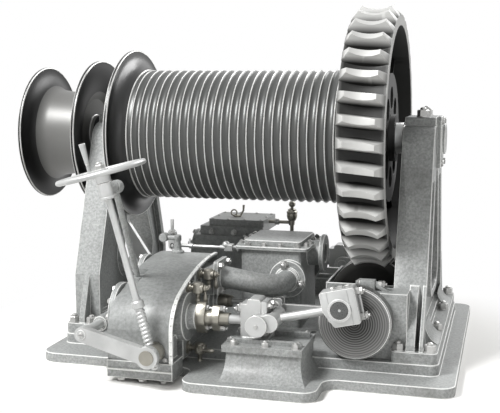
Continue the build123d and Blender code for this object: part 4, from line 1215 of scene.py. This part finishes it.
def white_floor():
    """Pale paper that keeps the shadow near the winch and turns to plain white further out."""
    material, tree, shader, place = start_finish("pale_paper", 0.0, 0.9)
    shader.inputs["Base Color"].default_value = linear("fbfaf8")
    away = add(tree, "ShaderNodeVectorMath", None, {0: place}, operation="LENGTH")
    far = add(
        tree,
        "ShaderNodeMapRange",
        {"From Min": FLOOR_FADE[0], "From Max": FLOOR_FADE[1]},
        {"Value": away.outputs["Value"]},
        interpolation_type="SMOOTHSTEP",
    )
    fade = add(
        tree,
        "ShaderNodeMath",
        None,
        {0: far.outputs["Result"], 1: seen_rays(tree)},
        operation="MULTIPLY",
    )
    white = add(tree, "ShaderNodeEmission", {"Color": (1, 1, 1, 1), "Strength": 1.0})
    mixed = add(
        tree,
        "ShaderNodeMixShader",
        None,
        {0: fade.outputs["Value"], 1: shader.outputs["BSDF"], 2: white.outputs["Emission"]},
    )
    tree.links.new(mixed.outputs["Shader"], tree.nodes["Material Output"].inputs["Surface"])
    return material


def lamp(name, place, size, watts):
    """Square lamp aimed at the winch."""
    data = bpy.data.lights.new(name, "AREA")
    data.size = size
    data.energy = watts
    light = bpy.data.objects.new(name, data)
    light.location = place
    light.rotation_euler = (Vector(LAMP_AIM) - Vector(place)).to_track_quat("-Z", "Y").to_euler()
    bpy.context.scene.collection.objects.link(light)


def camera():
    """Camera that was fitted to the picture."""
    data = bpy.data.cameras.new("picture")
    data.lens = CAMERA_LENS
    data.clip_end = CAMERA_REACH * MM
    eye = bpy.data.objects.new("picture", data)
    eye.location = [value * MM for value in CAMERA_PLACE]
    eye.rotation_euler = (math.radians(90 - CAMERA_DOWN), 0, math.radians(CAMERA_ROUND))
    bpy.context.scene.collection.objects.link(eye)
    bpy.context.scene.camera = eye


dress_cad()
standard_nuts()
for side_name, side_sign in SIDES:
    hood_rim(side_name, side_sign)
    hood_fasteners(side_name, side_sign)
    engine_fasteners(side_name, side_sign)
    rod_details(side_name, side_sign)
    crosshead_details(side_name, side_sign)
    valve_gear_nuts(side_name, side_sign)
    for cock_name in COCKS:
        drain_cock(side_name, side_sign, cock_name)
chest_nuts()
rear_cover_fittings()
worm_bearing_lugs()
control_post()
control_rod_joints()
threaded_spindle()
clutch_fittings()
shaft_ring_nut()
for mesh in PATTERNS.values():
    bpy.data.meshes.remove(mesh)
stage()
for lamp_name, (lamp_place, lamp_size, lamp_watts) in LAMPS.items():
    lamp(lamp_name, lamp_place, lamp_size, lamp_watts)
camera()
bpy.context.scene.view_settings.view_transform = "Standard"
